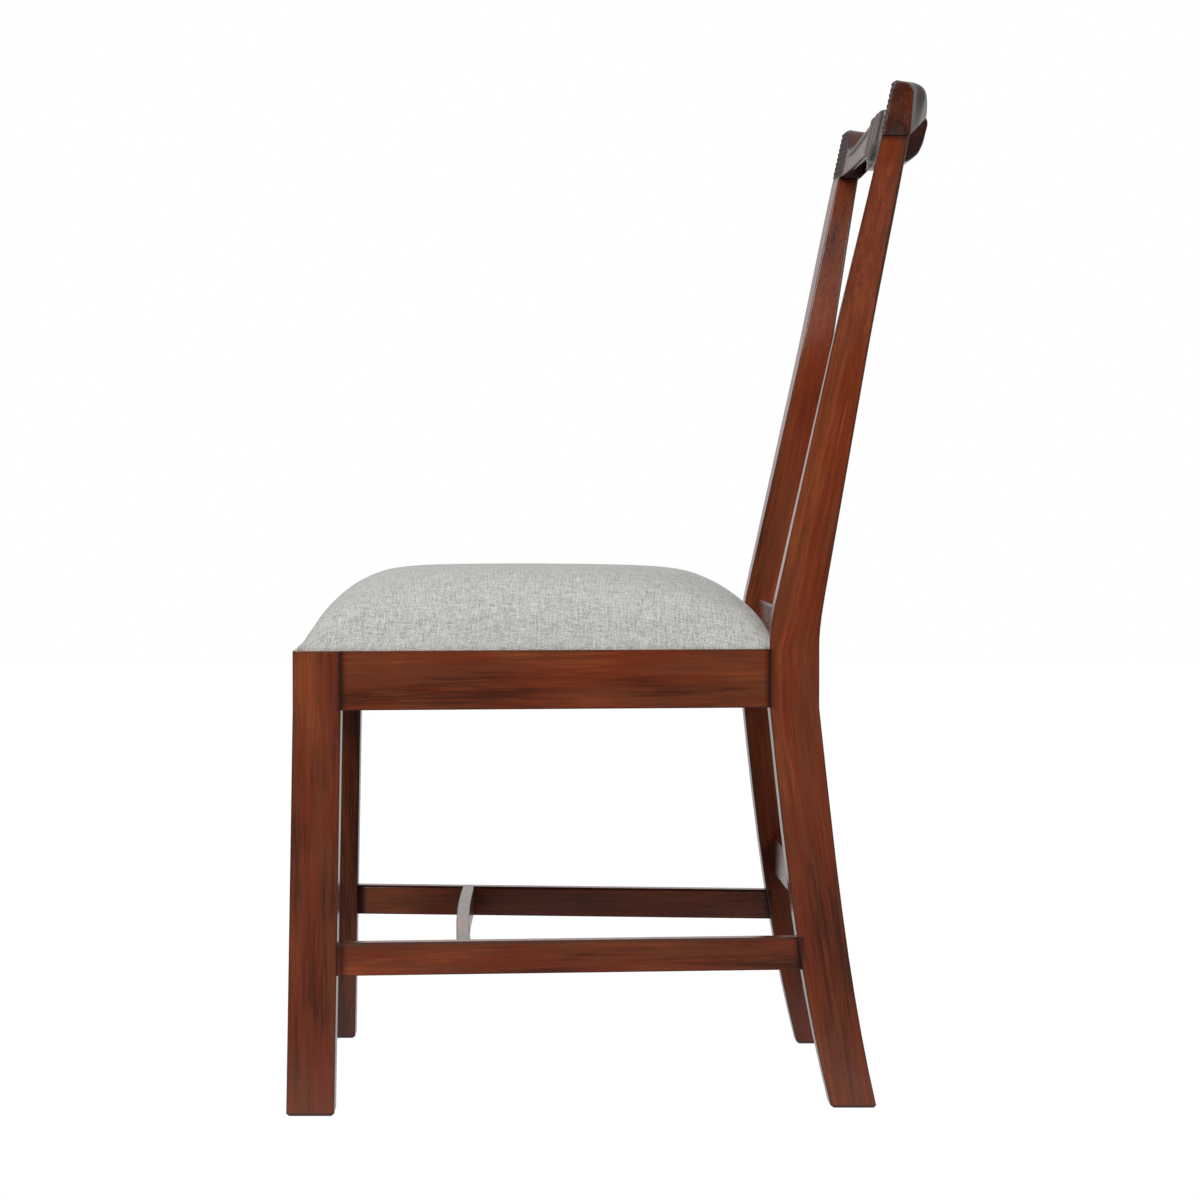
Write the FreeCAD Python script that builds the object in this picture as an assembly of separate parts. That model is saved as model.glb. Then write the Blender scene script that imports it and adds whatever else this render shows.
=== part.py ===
import FreeCAD, Part
import math
import os

# Side chair with a pierced splat, a serpentine top rail and an upholstered drop-in seat.
# Millimetres. X runs across the chair, Z is up, and the sitter looks along -Y.
# Left and right are the sitter's own, so the left side is +X.
# Pieces are drawn with Y counted back from the front of the front legs,
# and are moved at the end so that the origin is under the middle of the chair.

V = FreeCAD.Vector

# Frame: main sizes
front_width = 546.0
rear_width = 451.0
seat_depth = 445.4            # front of the front legs to the front of the back posts
rail_top = 432.5
rail_height = 55.0
rail_thickness = 22.0
rear_rail_thickness = 40.0
rail_setback = 0.8            # rail faces lie this far inside the leg faces
rail_arris = 0.9

# Front legs
front_leg_width = 42.5
front_leg_depth = 44.7
front_leg_lean = 6.6          # the foot stands this far ahead of the rail level
leg_arris = 1.3
foot_chamfer = 2.4

# Rear legs and back posts, one piece each side
rear_leg_width = 35.6
rear_foot_depth = 43.0
rear_rail_level_depth = 46.5
rear_leg_swell = 1.6          # half way down, the leg is this much deeper than a straight taper
foot_kick = 58.6              # the rear foot stands this far behind the rail level
kick_straight_share = 0.67    # the rest of the kick grows with the cube of the way down
kick_power = 3
post_rake_slope = 0.2185
rake_ease = 40.0              # height over which the post turns into its rake
post_top_depth = 26.0
post_flare = 33.5             # the post curves this far outwards, up to the joint under the top rail
flare_start_share = 0.55      # it is straight up to this share of its rise
post_front_turn = 3.0
post_back_turn = 2.0
post_front_arris = 1.2
post_back_arris = 3.2
joint_height = 910.0

# Top rail
crest_overhang = 0.6          # the ends pass the posts by this much
crest_dip_rise = 27.5         # lowest part of the top edge above the joint
ear_rise = 25.0               # the ears above that dip
crest_apron_drop = 6.0        # the middle hangs this far below the joint
crest_front_bow = 15.0
crest_back_bow = 30.0
crest_back_power = 3.5
crest_top_front_round = 3.5
crest_top_back_round = 9.5
crest_lower_front_round = 11.0
crest_lower_back_round = 13.0

# Splat and shoe
splat_thickness = 10.0
splat_head_setback = 30.0     # behind the line of the posts, under the top rail
splat_foot_setback = 8.5      # behind the shoe's upper front edge
splat_bow = 4.0
splat_top_half_width = 66.0
splat_foot_half_width = 50.0
splat_waist_half_width = 38.0
splat_foot_tenon = 20.0
splat_top_tenon = 14.0
splat_tenon_half_width = 48.0
shoe_height = 36.0
shoe_top_depth = 23.0
shoe_front_step = 4.5
shoe_lip_height = 6.0
shoe_cove = 2.6
shoe_gap_to_seat = 1.2

# Stretchers
stretcher_top = 161.0
stretcher_height = 30.5
stretcher_thickness = 20.0
stretcher_setback = 2.8
stretcher_edge = 2.2
cross_stretcher_front = 153.0
cross_stretcher_thickness = 12.5
cross_stretcher_bow = 4.0
rear_stretcher_top = 219.0
rear_stretcher_height = 38.0
rear_stretcher_thickness = 20.0

# Joints of the frame
joint_clearance = 0.15
tenon_thickness = 9.0
tenon_shoulder = 7.0          # step above and below a rail tenon
side_tenon = 22.0
front_tenon = 22.0
rear_tenon = 16.0
stretcher_tenon = 18.0
stretcher_tenon_thickness = 9.0
stretcher_tenon_shoulder = 5.0
cross_tenon = 12.0
post_tenon = 18.0
post_tenon_width = 18.0
post_tenon_thickness = 11.0
post_tenon_shift = 2.0        # behind the middle of the post's top

# Corner blocks
block_height = 36.0
block_thickness = 24.0
block_leg_gap = 2.0
block_drop = 2.0              # the blocks stop this far below the seat ledge
block_arris = 1.5

# Drop-in seat
seat_lip = 7.0                # wood that shows round the seat
seat_fit = 0.4
seat_corner = 14.0
board_thickness = 12.0
cover_thickness = 1.2
cover_flange = 38.0
seat_back_reach = 10.0        # the seat enters the rear rail this far
post_notch_gap = 1.0
crown_height = 76.0
crown_inset = 130.0
crown_corner_growth_share = 0.3
dust_cover_thickness = 0.8
dust_cover_margin = 2.0

# Fasteners
screw_radius = 2.2
screw_head_radius = 4.4
screw_head_height = 2.6
screw_clearance = 0.2
seat_screw_bite = 9.0
block_screw_bite = 13.0
block_screw_seat = 12.0
block_screw_spread = 9.0
staple_crown = 10.0
staple_leg = 7.0
staple_wire = 0.8
staple_margin = 7.0
staple_clearance = 0.05
staples_across = 5
staples_deep = 5

# Degree of the curves that join the sections of a loft
loft_degree = 3

# All cuts run past the faces that they leave by this much
overrun = 5.0

# Heights of the rear leg's sections: share of the way from foot to rail, and from rail top to joint
leg_section_shares = (0.0, 0.12, 0.25, 0.4, 0.55, 0.7, 0.85, 1.0)
post_section_shares = (0.0, 0.04, 0.09, 0.18, 0.3, 0.42, 0.52, 0.6, 0.68, 0.76, 0.84, 0.92, 1.0)

# Top rail from its centre out: share of the half width, then the top edge as a share of the way
# from the dip to the ear's top, then the lower edge as a share of the way from the apron to the
# joint, up to the posts
crest_shares = (
    (0.0, 0.78, 0.0),
    (0.1, 0.76, 0.02),
    (0.2, 0.69, 0.12),
    (0.28, 0.6, 0.55),
    (0.36, 0.5, 0.92),
    (0.45, 0.39, 1.0),
    (0.6, 0.18, 1.0),
    (0.7, 0.02, 1.0),
    (0.77, 0.04, 1.0),
    (0.83, 0.48, 1.0),
    (0.88, 0.9, None),
    (0.93, 1.0, None),
    (1.0, 0.9, None),
)

# Places along half the back of the top rail, as shares of its half width
crest_back_shares = (0.0, 0.2, 0.4, 0.6, 0.75, 0.87, 0.95, 1.0)

# Splat outline: share of its height, then share of the way from waist to the top half width
splat_outline_shares = (
    (0.0, 0.26),
    (0.05, 0.16),
    (0.14, 0.04),
    (0.26, 0.0),
    (0.4, 0.2),
    (0.55, 0.52),
    (0.7, 0.8),
    (0.85, 0.95),
    (1.0, 1.0),
)

# Openings through the splat, right half and middle: x of the lower and upper point as a share of the
# top half width, their heights as shares of the splat's height, and the swell to each side as a share
# of the top half width
splat_opening_shares = (
    (0.0, 0.07, 0.0, 0.4, 0.11, 0.11),
    (0.28, 0.09, 0.26, 0.37, 0.07, 0.06),
    (0.0, 0.5, 0.0, 0.95, 0.13, 0.13),
    (0.22, 0.48, 0.42, 0.95, 0.03, 0.12),
    (0.45, 0.5, 0.78, 0.93, 0.04, 0.1),
)

# Seat crown: share of its height, then share of the inset at that height
crown_shares = (
    (0.0, 0.0),
    (0.17, 0.008),
    (0.33, 0.045),
    (0.47, 0.115),
    (0.6, 0.2),
    (0.72, 0.31),
    (0.83, 0.44),
    (0.92, 0.61),
    (0.975, 0.8),
    (1.0, 1.0),
)

# Sizes worked out from those above
rail_bottom = rail_top - rail_height
half_front = front_width / 2
half_rear = rear_width / 2
crest_half_width = half_rear + post_flare + crest_overhang
crest_dip = joint_height + crest_dip_rise
ear_top = crest_dip + ear_rise
crest_apron = joint_height - crest_apron_drop
ledge_height = rail_top - board_thickness
post_rise = joint_height - rail_top
post_inner_x = half_rear - rear_leg_width
seat_back = seat_depth + seat_back_reach
shoe_front = seat_back + shoe_gap_to_seat
shoe_top = rail_top + shoe_height
interior_top = ledge_height - block_drop


def polygon_face(points):
    """A flat face inside straight edges through the points."""
    return Part.Face(Part.makePolygon(list(points) + [points[0]]))


def prism_z(corners, low, high):
    """A straight prism over an (x, y) outline between two heights."""
    return polygon_face([V(x, y, low) for x, y in corners]).extrude(V(0, 0, high - low))


def box(x0, x1, y0, y1, z0, z1):
    """A box between two corners."""
    return Part.makeBox(x1 - x0, y1 - y0, z1 - z0, V(x0, y0, z0))


def mirrored(shape):
    """The same piece on the other side of the chair."""
    return shape.mirror(V(0, 0, 0), V(1, 0, 0))


def rounded_wire(corners, radii):
    """A closed wire through corners in one plane, each turned by an arc of its own radius."""
    count = len(corners)
    starts = []
    ends = []
    middles = []
    for i in range(count):
        corner = corners[i]
        back = (corners[i - 1] - corner).normalize()
        ahead = (corners[(i + 1) % count] - corner).normalize()
        half_angle = back.getAngle(ahead) / 2
        reach = radii[i] / math.tan(half_angle)
        inward = (back + ahead).normalize()
        starts.append(corner + back * reach)
        ends.append(corner + ahead * reach)
        middles.append(corner + inward * (radii[i] / math.sin(half_angle) - radii[i]))
    edges = []
    for i in range(count):
        edges.append(Part.Arc(starts[i], middles[i], ends[i]).toShape())
        edges.append(Part.LineSegment(ends[i], starts[(i + 1) % count]).toShape())
    return Part.Wire(edges)


def long_edges(shape, axis, share=0.9):
    """The edges that run mostly along one axis."""
    found = []
    for edge in shape.Edges:
        span = edge.Vertexes[-1].Point - edge.Vertexes[0].Point
        if span.Length > 0 and abs(span.dot(axis)) > share * span.Length:
            found.append(edge)
    return found


def rim_edges(shape, height):
    """The edges that lie wholly at one height."""
    slack = joint_clearance / 10
    flat = [edge for edge in shape.Edges if edge.BoundBox.ZLength < slack]
    return [edge for edge in flat if abs(edge.BoundBox.ZMin - height) < slack]


# Lines of the back post

def eased_rise(height):
    """Height above the rails, counted from nothing through a parabola over the ease."""
    rise = max(height - rail_top, 0)
    if rise < rake_ease:
        return rise * rise / (2 * rake_ease)
    return rise - rake_ease / 2


def rise_share(height):
    """Share of the way from the rails to the joint under the top rail, eased at its start."""
    return eased_rise(height) / eased_rise(joint_height)


def post_front(height):
    """Depth of the front face of the rear leg and post at a height."""
    if height <= rail_bottom:
        way = 1 - height / rail_bottom
        curved = (1 - kick_straight_share) * way ** kick_power
        return seat_depth + foot_kick * (kick_straight_share * way + curved)
    return seat_depth + post_rake_slope * eased_rise(height)


def post_depth(height):
    """Front to back size of the rear leg and post at a height."""
    if height <= rail_bottom:
        share = height / rail_bottom
        swell = rear_leg_swell * (1 - (1 - 2 * share) ** 2)
        return rear_foot_depth + (rear_rail_level_depth - rear_foot_depth) * share + swell
    return rear_rail_level_depth + (post_top_depth - rear_rail_level_depth) * rise_share(height)


def post_outer(height):
    """Distance of the post's outer face from the middle of the chair.

    The post is upright at first, then curves outwards and is upright again at the joint: with t
    from 0 to 1 over the curved part, it has gone t * t * (3 - 2 t) of the flare.
    """
    way = max(rise_share(height) - flare_start_share, 0) / (1 - flare_start_share)
    return half_rear + post_flare * way * way * (3 - 2 * way)


def post_section(height, inset=0):
    """One rounded section of the rear leg and post, drawn in by inset."""
    share = rise_share(height)
    outer = post_outer(height) - inset
    inner = outer - rear_leg_width + 2 * inset
    front = post_front(height) + inset
    back = front + post_depth(height) - 2 * inset
    corners = [
        V(inner, front + post_front_turn * share, height),
        V(outer, front, height),
        V(outer, back, height),
        V(inner, back - post_back_turn * share, height),
    ]
    soft = post_front_arris + (post_back_arris - post_front_arris) * share
    return rounded_wire(corners, [post_front_arris, post_front_arris, soft, soft])


# Frame members before their joints are cut

def front_leg_section(height, inset=0):
    """One rounded section of the front leg, drawn in by inset."""
    lean = front_leg_lean * max(1 - height / rail_bottom, 0)
    outer = half_front - inset
    inner = half_front - front_leg_width + inset
    front = inset - lean
    back = front_leg_depth - inset - lean
    corners = [V(inner, front, height), V(outer, front, height), V(outer, back, height),
               V(inner, back, height)]
    return rounded_wire(corners, [leg_arris] * len(corners))


def make_front_leg():
    """Left front leg: square, upright at the rails, leaning a little forward to the foot."""
    wires = [
        front_leg_section(0, foot_chamfer),
        front_leg_section(foot_chamfer),
        front_leg_section(rail_bottom),
        front_leg_section(rail_top),
    ]
    return Part.makeLoft(wires, True, True)


def make_rear_leg():
    """Left rear leg and back post in one piece, straight at the rails, over a chamfered foot."""
    foot = Part.makeLoft([post_section(0, foot_chamfer), post_section(foot_chamfer)], True, True)
    kick_heights = [foot_chamfer + (rail_bottom - foot_chamfer) * share for share in leg_section_shares]
    kick = Part.makeLoft([post_section(height) for height in kick_heights], True, False, False, loft_degree)
    middle = Part.Face(post_section(rail_bottom)).extrude(V(0, 0, rail_height))
    post_heights = [rail_top + post_rise * share for share in post_section_shares]
    post = Part.makeLoft([post_section(height) for height in post_heights], True, False, False, loft_degree)
    return middle.fuse([foot, kick, post])


def side_bar(outer_front, outer_rear, y_front, y_rear, thickness, low, high, edge, extra=0):
    """A bar from front to rear whose outer face slants in plan, with its top edges eased.

    The bar is a sheared prism: its section stays square to Y, and extra lengthens both ends
    along the same slant.
    """
    slant = (outer_rear - outer_front) / (y_rear - y_front)
    start = y_front - extra
    outer = outer_front - slant * extra
    run = y_rear - y_front + 2 * extra
    section = [
        V(outer - thickness, start, low),
        V(outer, start, low),
        V(outer, start, high - edge),
        V(outer - edge, start, high),
        V(outer - thickness + edge, start, high),
        V(outer - thickness, start, high - edge),
    ]
    return polygon_face(section).extrude(V(slant * run, run, 0))


def side_tenons(outer_front, outer_rear, y_front, y_rear, thickness, low, high, size, grow):
    """The tenons at both ends of a side bar, as one longer and thinner bar.

    size holds the tenon's thickness, its shoulder above and below, and its length.
    """
    tenon_wide, shoulder, length = size
    inset = (thickness - tenon_wide) / 2 - grow
    return side_bar(outer_front - inset, outer_rear - inset, y_front, y_rear, tenon_wide + 2 * grow,
                    low + shoulder - grow, high - shoulder + grow, 0, length + grow)


def across(y0, y1, z0, z1, half_length):
    """A bar across the chair, centred on its middle."""
    return box(-half_length, half_length, y0, y1, z0, z1)


def seat_outline(inset):
    """Corners of the seat seen from above, drawn in by inset, front right first."""
    front = seat_lip + inset
    back = seat_back - inset
    front_x = half_front - seat_lip
    slope = (half_rear - half_front) / seat_depth
    ahead = front_x + slope * inset - inset
    behind = front_x + slope * (seat_back - seat_lip - inset) - inset
    return [(-ahead, front), (ahead, front), (behind, back), (-behind, back)]


def seat_wire(inset, height, growth):
    """Rounded outline of the seat at a height."""
    corners = [V(x, y, height) for x, y in seat_outline(inset)]
    return rounded_wire(corners, [seat_corner + growth] * len(corners))


def seat_prism(inset, low, high):
    """Upright block over the seat's rounded outline."""
    return Part.Face(seat_wire(inset, low, 0)).extrude(V(0, 0, high - low))


def seat_crown(inset, height):
    """Domed upper part of the seat, whose sides draw in towards a nearly flat top."""
    wires = []
    for rise_share, inset_share in crown_shares:
        drawn = crown_inset * inset_share
        level = rail_top + height * rise_share
        wires.append(seat_wire(inset + drawn, level, drawn * crown_corner_growth_share))
    return Part.makeLoft(wires, True, False, False, loft_degree)


def post_notches(gap):
    """Blocks round both back posts that the seat is cut clear of."""
    inner = post_inner_x - gap
    back = seat_back + overrun
    top = rail_top + crown_height + overrun
    one = box(inner, half_rear + overrun, seat_depth - gap, back, ledge_height - overrun, top)
    return one.fuse(mirrored(one))


def interior(margin, low, high):
    """Block of the free space inside the four rails."""
    slope = (half_rear - half_front) / (seat_depth - front_leg_depth)
    slant = math.sqrt(1 + slope * slope)
    front = rail_setback + rail_thickness + margin
    back = seat_depth - margin
    face_x = half_front - rail_setback - rail_thickness - margin * slant
    ahead = face_x + slope * (front - front_leg_depth)
    behind = face_x + slope * (back - front_leg_depth)
    corners = [(-ahead, front), (ahead, front), (behind, back), (-behind, back)]
    return prism_z(corners, low, high)


# Top rail

def crest_plan():
    """Plan of the top rail, bowed back more behind than in front, swept up along the rake."""
    low = crest_apron - overrun
    run = ear_top - low + overrun
    front = post_front(joint_height) + post_rake_slope * (low - joint_height)
    back = front + post_top_depth
    half = crest_half_width
    side = [V(half * share, back + crest_back_bow * (1 - share ** crest_back_power), low)
            for share in crest_back_shares]
    behind = [V(-point.x, point.y, low) for point in side[:0:-1]] + side
    edges = [
        Part.Arc(V(-half, front, low), V(0, front + crest_front_bow, low), V(half, front, low)).toShape(),
        Part.LineSegment(V(half, front, low), V(half, back, low)).toShape(),
        spline_edge(behind),
        Part.LineSegment(V(-half, back, low), V(-half, front, low)).toShape(),
    ]
    return Part.Face(Part.Wire(edges)).extrude(V(0, post_rake_slope * run, run))


def crest_elevation():
    """Outline of the top rail seen from the front, as a slab that runs front to back."""
    near = seat_depth
    half = crest_half_width
    top = [V(half * share, near, crest_dip + (ear_top - crest_dip) * top_share)
           for share, top_share, low_share in crest_shares]
    low = [V(half * share, near, crest_apron + (joint_height - crest_apron) * low_share)
           for share, top_share, low_share in crest_shares if low_share is not None]
    top = [V(-point.x, near, point.z) for point in top[:0:-1]] + top
    low = [V(-point.x, near, point.z) for point in low[:0:-1]] + low
    seat = V(half, near, joint_height)
    edges = [
        spline_edge(low),
        Part.LineSegment(low[-1], seat).toShape(),
        Part.LineSegment(seat, top[-1]).toShape(),
        spline_edge(top),
        Part.LineSegment(top[0], V(-half, near, joint_height)).toShape(),
        Part.LineSegment(V(-half, near, joint_height), low[0]).toShape(),
    ]
    return Part.Face(Part.Wire(edges)).extrude(V(0, seat_depth, 0))


def crest_edges(shape, lower, behind):
    """The long curved edges of the top rail: upper or lower, in front or behind."""
    found = []
    for edge in shape.Edges:
        if edge.BoundBox.XLength < crest_half_width:
            continue
        middle = edge.valueAt((edge.FirstParameter + edge.LastParameter) / 2)
        front = post_front(joint_height) + post_rake_slope * (middle.z - joint_height)
        is_behind = middle.y > front + (post_top_depth + crest_back_bow + crest_front_bow) / 2
        is_lower = middle.z < crest_dip
        if is_behind == behind and is_lower == lower:
            found.append(edge)
    return found


def crest_end_bevel(inner_x):
    """What is cut off behind one post's top, so that the post's back runs on into the top rail."""
    back = post_front(joint_height) + post_top_depth
    reach = crest_back_bow
    corner = V(inner_x, back, joint_height)
    face = polygon_face([corner, corner + V(0, reach, 0), corner + V(0, reach, reach)])
    return face.extrude(V(crest_half_width, 0, 0))


def make_crest():
    """The whole top rail: its plan cut to its elevation, with rounded edges.

    The lower edges are rounded only between the posts, where nothing is joined to them.
    """
    crest = crest_plan().common(crest_elevation())
    crest = crest.makeFillet(crest_top_back_round, crest_edges(crest, False, True))
    crest = crest.makeFillet(crest_top_front_round, crest_edges(crest, False, False))
    inner_x = post_outer(joint_height) - rear_leg_width
    between = box(-inner_x, inner_x, 0, 2 * seat_depth, 0, 2 * joint_height)
    middle = crest.common(between)
    middle = middle.makeFillet(crest_lower_back_round, crest_edges(middle, True, True))
    middle = middle.makeFillet(crest_lower_front_round, crest_edges(middle, True, False))
    bevel = crest_end_bevel(inner_x)
    ends = crest.cut([between, bevel, mirrored(bevel)])
    return middle.fuse(ends.Solids)


# Splat

def bowed_plank(foot_front, slope, thickness, half_width, low, high):
    """A leaning plank bowed back in plan, its centre furthest back and at foot_front at the shoe."""
    run = high - low
    wide = half_width + overrun
    radius = half_width * half_width / (2 * splat_bow)
    side_set = radius - math.sqrt(radius * radius - wide * wide)
    y_mid = foot_front + slope * (low - shoe_top)
    front = [V(-wide, y_mid - side_set, low), V(0, y_mid, low), V(wide, y_mid - side_set, low)]
    back = [point + V(0, thickness, 0) for point in front]
    edges = [
        Part.Arc(front[0], front[1], front[2]).toShape(),
        Part.LineSegment(front[2], back[2]).toShape(),
        Part.Arc(back[2], back[1], back[0]).toShape(),
        Part.LineSegment(back[0], front[0]).toShape(),
    ]
    return Part.Face(Part.Wire(edges)).extrude(V(0, slope * run, run))


def spline_edge(points):
    """A smooth edge through the points."""
    curve = Part.BSplineCurve()
    curve.interpolate(points)
    return curve.toShape()


def splat_blank(low, high, grow):
    """The outline of the splat as an upright slab that runs front to back."""
    height = crest_apron - shoe_top
    near = seat_depth - overrun
    side = []
    for rise_share, wide_share in splat_outline_shares:
        wide = splat_waist_half_width + (splat_top_half_width - splat_waist_half_width) * wide_share
        side.append((wide, shoe_top + height * rise_share))
    right = spline_edge([V(x, near, z) for x, z in side])
    left = spline_edge([V(-x, near, z) for x, z in side])
    foot = Part.LineSegment(V(-side[0][0], near, side[0][1]), V(side[0][0], near, side[0][1]))
    head = Part.LineSegment(V(side[-1][0], near, side[-1][1]), V(-side[-1][0], near, side[-1][1]))
    face = Part.Face(Part.Wire([foot.toShape(), right, head.toShape(), left]))
    reach = 2 * seat_depth
    slab = face.extrude(V(0, reach, 0))
    foot_wide = splat_foot_half_width + grow
    foot_tenon = box(-foot_wide, foot_wide, near, near + reach, low - grow, shoe_top)
    head_wide = splat_tenon_half_width + grow
    head_tenon = box(-head_wide, head_wide, near, near + reach, crest_apron, high + grow)
    return slab.fuse([foot_tenon, head_tenon])


def lens(x0, z0, x1, z1, swell_in, swell_out):
    """A slot with two pointed ends and two arched sides, cut straight through from the front."""
    near = seat_depth - overrun
    low = V(x0, near, z0)
    high = V(x1, near, z1)
    middle = (low + high) / 2
    side = V(high.z - low.z, 0, low.x - high.x).normalize()
    outer = Part.Arc(low, middle + side * swell_out, high).toShape()
    inner = Part.Arc(high, middle - side * swell_in, low).toShape()
    return Part.Face(Part.Wire([outer, inner])).extrude(V(0, 2 * seat_depth, 0))


def make_splat(grow):
    """Splat with tenons at its foot and head, larger by grow all round."""
    low = shoe_top - splat_foot_tenon
    high = crest_apron + splat_top_tenon
    foot_front = shoe_front + shoe_front_step + splat_foot_setback
    slope = (post_front(crest_apron) + splat_head_setback - foot_front) / (crest_apron - shoe_top)
    plank = bowed_plank(foot_front - grow, slope, splat_thickness + 2 * grow, splat_top_half_width,
                        low - overrun, high + overrun)
    return plank.common(splat_blank(low, high, grow))


def pierce(splat):
    """Cut the openings through the splat, those beside the middle on both sides."""
    height = crest_apron - shoe_top
    wide = splat_top_half_width
    for x0, z0, x1, z1, swell_in, swell_out in splat_opening_shares:
        slot = lens(x0 * wide, shoe_top + z0 * height, x1 * wide, shoe_top + z1 * height,
                    swell_in * wide, swell_out * wide)
        splat = splat.cut(slot)
        if x0 > 0:
            splat = splat.cut(mirrored(slot))
    return splat


def make_shoe():
    """Moulded block on the rear rail that holds the splat's foot, hollowed along its front."""
    back = seat_depth + rear_rail_thickness
    top_front = shoe_front + shoe_front_step
    lip = rail_top + shoe_lip_height
    top_lip = shoe_top - shoe_lip_height / 2
    start = -half_rear
    middle = V(start, (shoe_front + top_front) / 2 + shoe_cove, (lip + top_lip) / 2)
    points = [
        V(start, shoe_front, rail_top),
        V(start, shoe_front, lip),
        V(start, top_front, top_lip),
        V(start, top_front, shoe_top),
        V(start, top_front + shoe_top_depth, shoe_top),
        V(start, back, rail_top),
    ]
    edges = [
        Part.LineSegment(points[0], points[1]).toShape(),
        Part.Arc(points[1], middle, points[2]).toShape(),
        Part.LineSegment(points[2], points[3]).toShape(),
        Part.LineSegment(points[3], points[4]).toShape(),
        Part.LineSegment(points[4], points[5]).toShape(),
        Part.LineSegment(points[5], points[0]).toShape(),
    ]
    return Part.Face(Part.Wire(edges)).extrude(V(rear_width, 0, 0))


# Cross stretcher

def bowed_bar(front, thickness, half_length, low, high, bow):
    """A bar across the chair whose middle swells forward by bow."""
    edges = [
        Part.Arc(V(-half_length, front, low), V(0, front - bow, low), V(half_length, front, low)).toShape(),
        Part.LineSegment(V(half_length, front, low), V(half_length, front + thickness, low)).toShape(),
        Part.Arc(V(half_length, front + thickness, low), V(0, front + thickness - bow, low),
                 V(-half_length, front + thickness, low)).toShape(),
        Part.LineSegment(V(-half_length, front + thickness, low), V(-half_length, front, low)).toShape(),
    ]
    return Part.Face(Part.Wire(edges)).extrude(V(0, 0, high - low))


# Fasteners

def screw(tip, head, radius, head_radius, head_height):
    """A plain screw from its tip to the top of its head."""
    axis = head - tip
    length = axis.Length
    shank = Part.makeCylinder(radius, length, tip, axis)
    cap = Part.makeCylinder(head_radius, head_height, head - axis * (head_height / length), axis)
    return shank.fuse(cap).removeSplitter()


def screw_hole(tip, head):
    """The room that a screw needs, with a bore for its head that runs out past it."""
    grown = screw(tip - (head - tip).normalize() * screw_clearance, head,
                  screw_radius + screw_clearance, screw_head_radius + screw_clearance,
                  screw_head_height + screw_clearance)
    axis = (head - tip).normalize()
    bore = Part.makeCylinder(screw_head_radius + screw_clearance, 2 * block_height, head, axis)
    return grown.fuse(bore)


def staple(x, y, along_x, grow):
    """A wire staple that points up, its crown under the dust cover."""
    half = staple_crown / 2 + grow
    wire = staple_wire / 2 + grow
    crown_top = ledge_height - dust_cover_thickness
    low = crown_top - staple_wire - grow
    if along_x:
        crown = box(x - half, x + half, y - wire, y + wire, low, crown_top)
        legs = [box(end, end + 2 * wire, y - wire, y + wire, crown_top, crown_top + staple_leg + grow)
                for end in (x - half, x + half - 2 * wire)]
    else:
        crown = box(x - wire, x + wire, y - half, y + half, low, crown_top)
        legs = [box(x - wire, x + wire, end, end + 2 * wire, crown_top, crown_top + staple_leg + grow)
                for end in (y - half, y + half - 2 * wire)]
    return crown.fuse(legs).removeSplitter()


def staple_places():
    """Where the staples go: middle of each crown and whether it lies across the chair."""
    slope = (half_rear - half_front) / (seat_depth - front_leg_depth)
    inset = dust_cover_margin + staple_margin
    front = rail_setback + rail_thickness + inset
    back = seat_depth - inset
    places = []
    for i in range(staples_across):
        share = (i + 1) / (staples_across + 1) * 2 - 1
        places.append((share * (half_front - rail_thickness - inset), front, True))
        places.append((share * (half_rear - rail_thickness - inset), back, True))
    for i in range(staples_deep):
        y = front + (back - front) * (i + 1) / (staples_deep + 1)
        x = half_front - rail_setback - rail_thickness - inset + slope * (y - front_leg_depth)
        places.append((x, y, False))
        places.append((-x, y, False))
    return places


# Corner blocks

def make_block(x, y, turn_x, turn_y, room):
    """A diagonal block across one inner corner of the seat frame.

    x and y give the leg's inner corner, turn_x and turn_y point from it into the frame.
    """
    into = V(turn_x, turn_y, 0).normalize()
    side = V(-into.y, into.x, 0)
    near = V(x, y, room.BoundBox.ZMin) + into * block_leg_gap
    far = near + into * block_thickness
    reach = 2 * front_leg_depth
    plan = [near - side * reach, near + side * reach, far + side * reach, far - side * reach]
    block = polygon_face(plan).extrude(V(0, 0, room.BoundBox.ZLength))
    block = block.common(room)
    return block.makeChamfer(block_arris, rim_edges(block, room.BoundBox.ZMin))


def nearest_axis(direction):
    """The one of the X and Y directions that lies nearest to a level direction."""
    if abs(direction.x) > abs(direction.y):
        return V(math.copysign(1, direction.x), 0, 0)
    return V(0, math.copysign(1, direction.y), 0)


def block_screws(x, y, turn_x, turn_y):
    """Tip and head points of a block's screws: one up into the seat, two out into the rails."""
    into = V(turn_x, turn_y, 0).normalize()
    middle = V(x, y, 0) + into * (block_leg_gap + block_thickness / 2)
    low = interior_top - block_height
    seat_tip = ledge_height + cover_thickness + seat_screw_bite
    up = (middle + V(0, 0, seat_tip), middle + V(0, 0, low + screw_head_height))
    level = (interior_top + low) / 2
    side = V(-into.y, into.x, 0)
    screws = [up]
    for sign in (1, -1):
        start = middle + side * (sign * (block_thickness + block_screw_spread)) + V(0, 0, level)
        outward = nearest_axis(side * sign - into)
        screws.append((start + outward * block_screw_bite, start - outward * block_screw_seat))
    return screws


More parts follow.
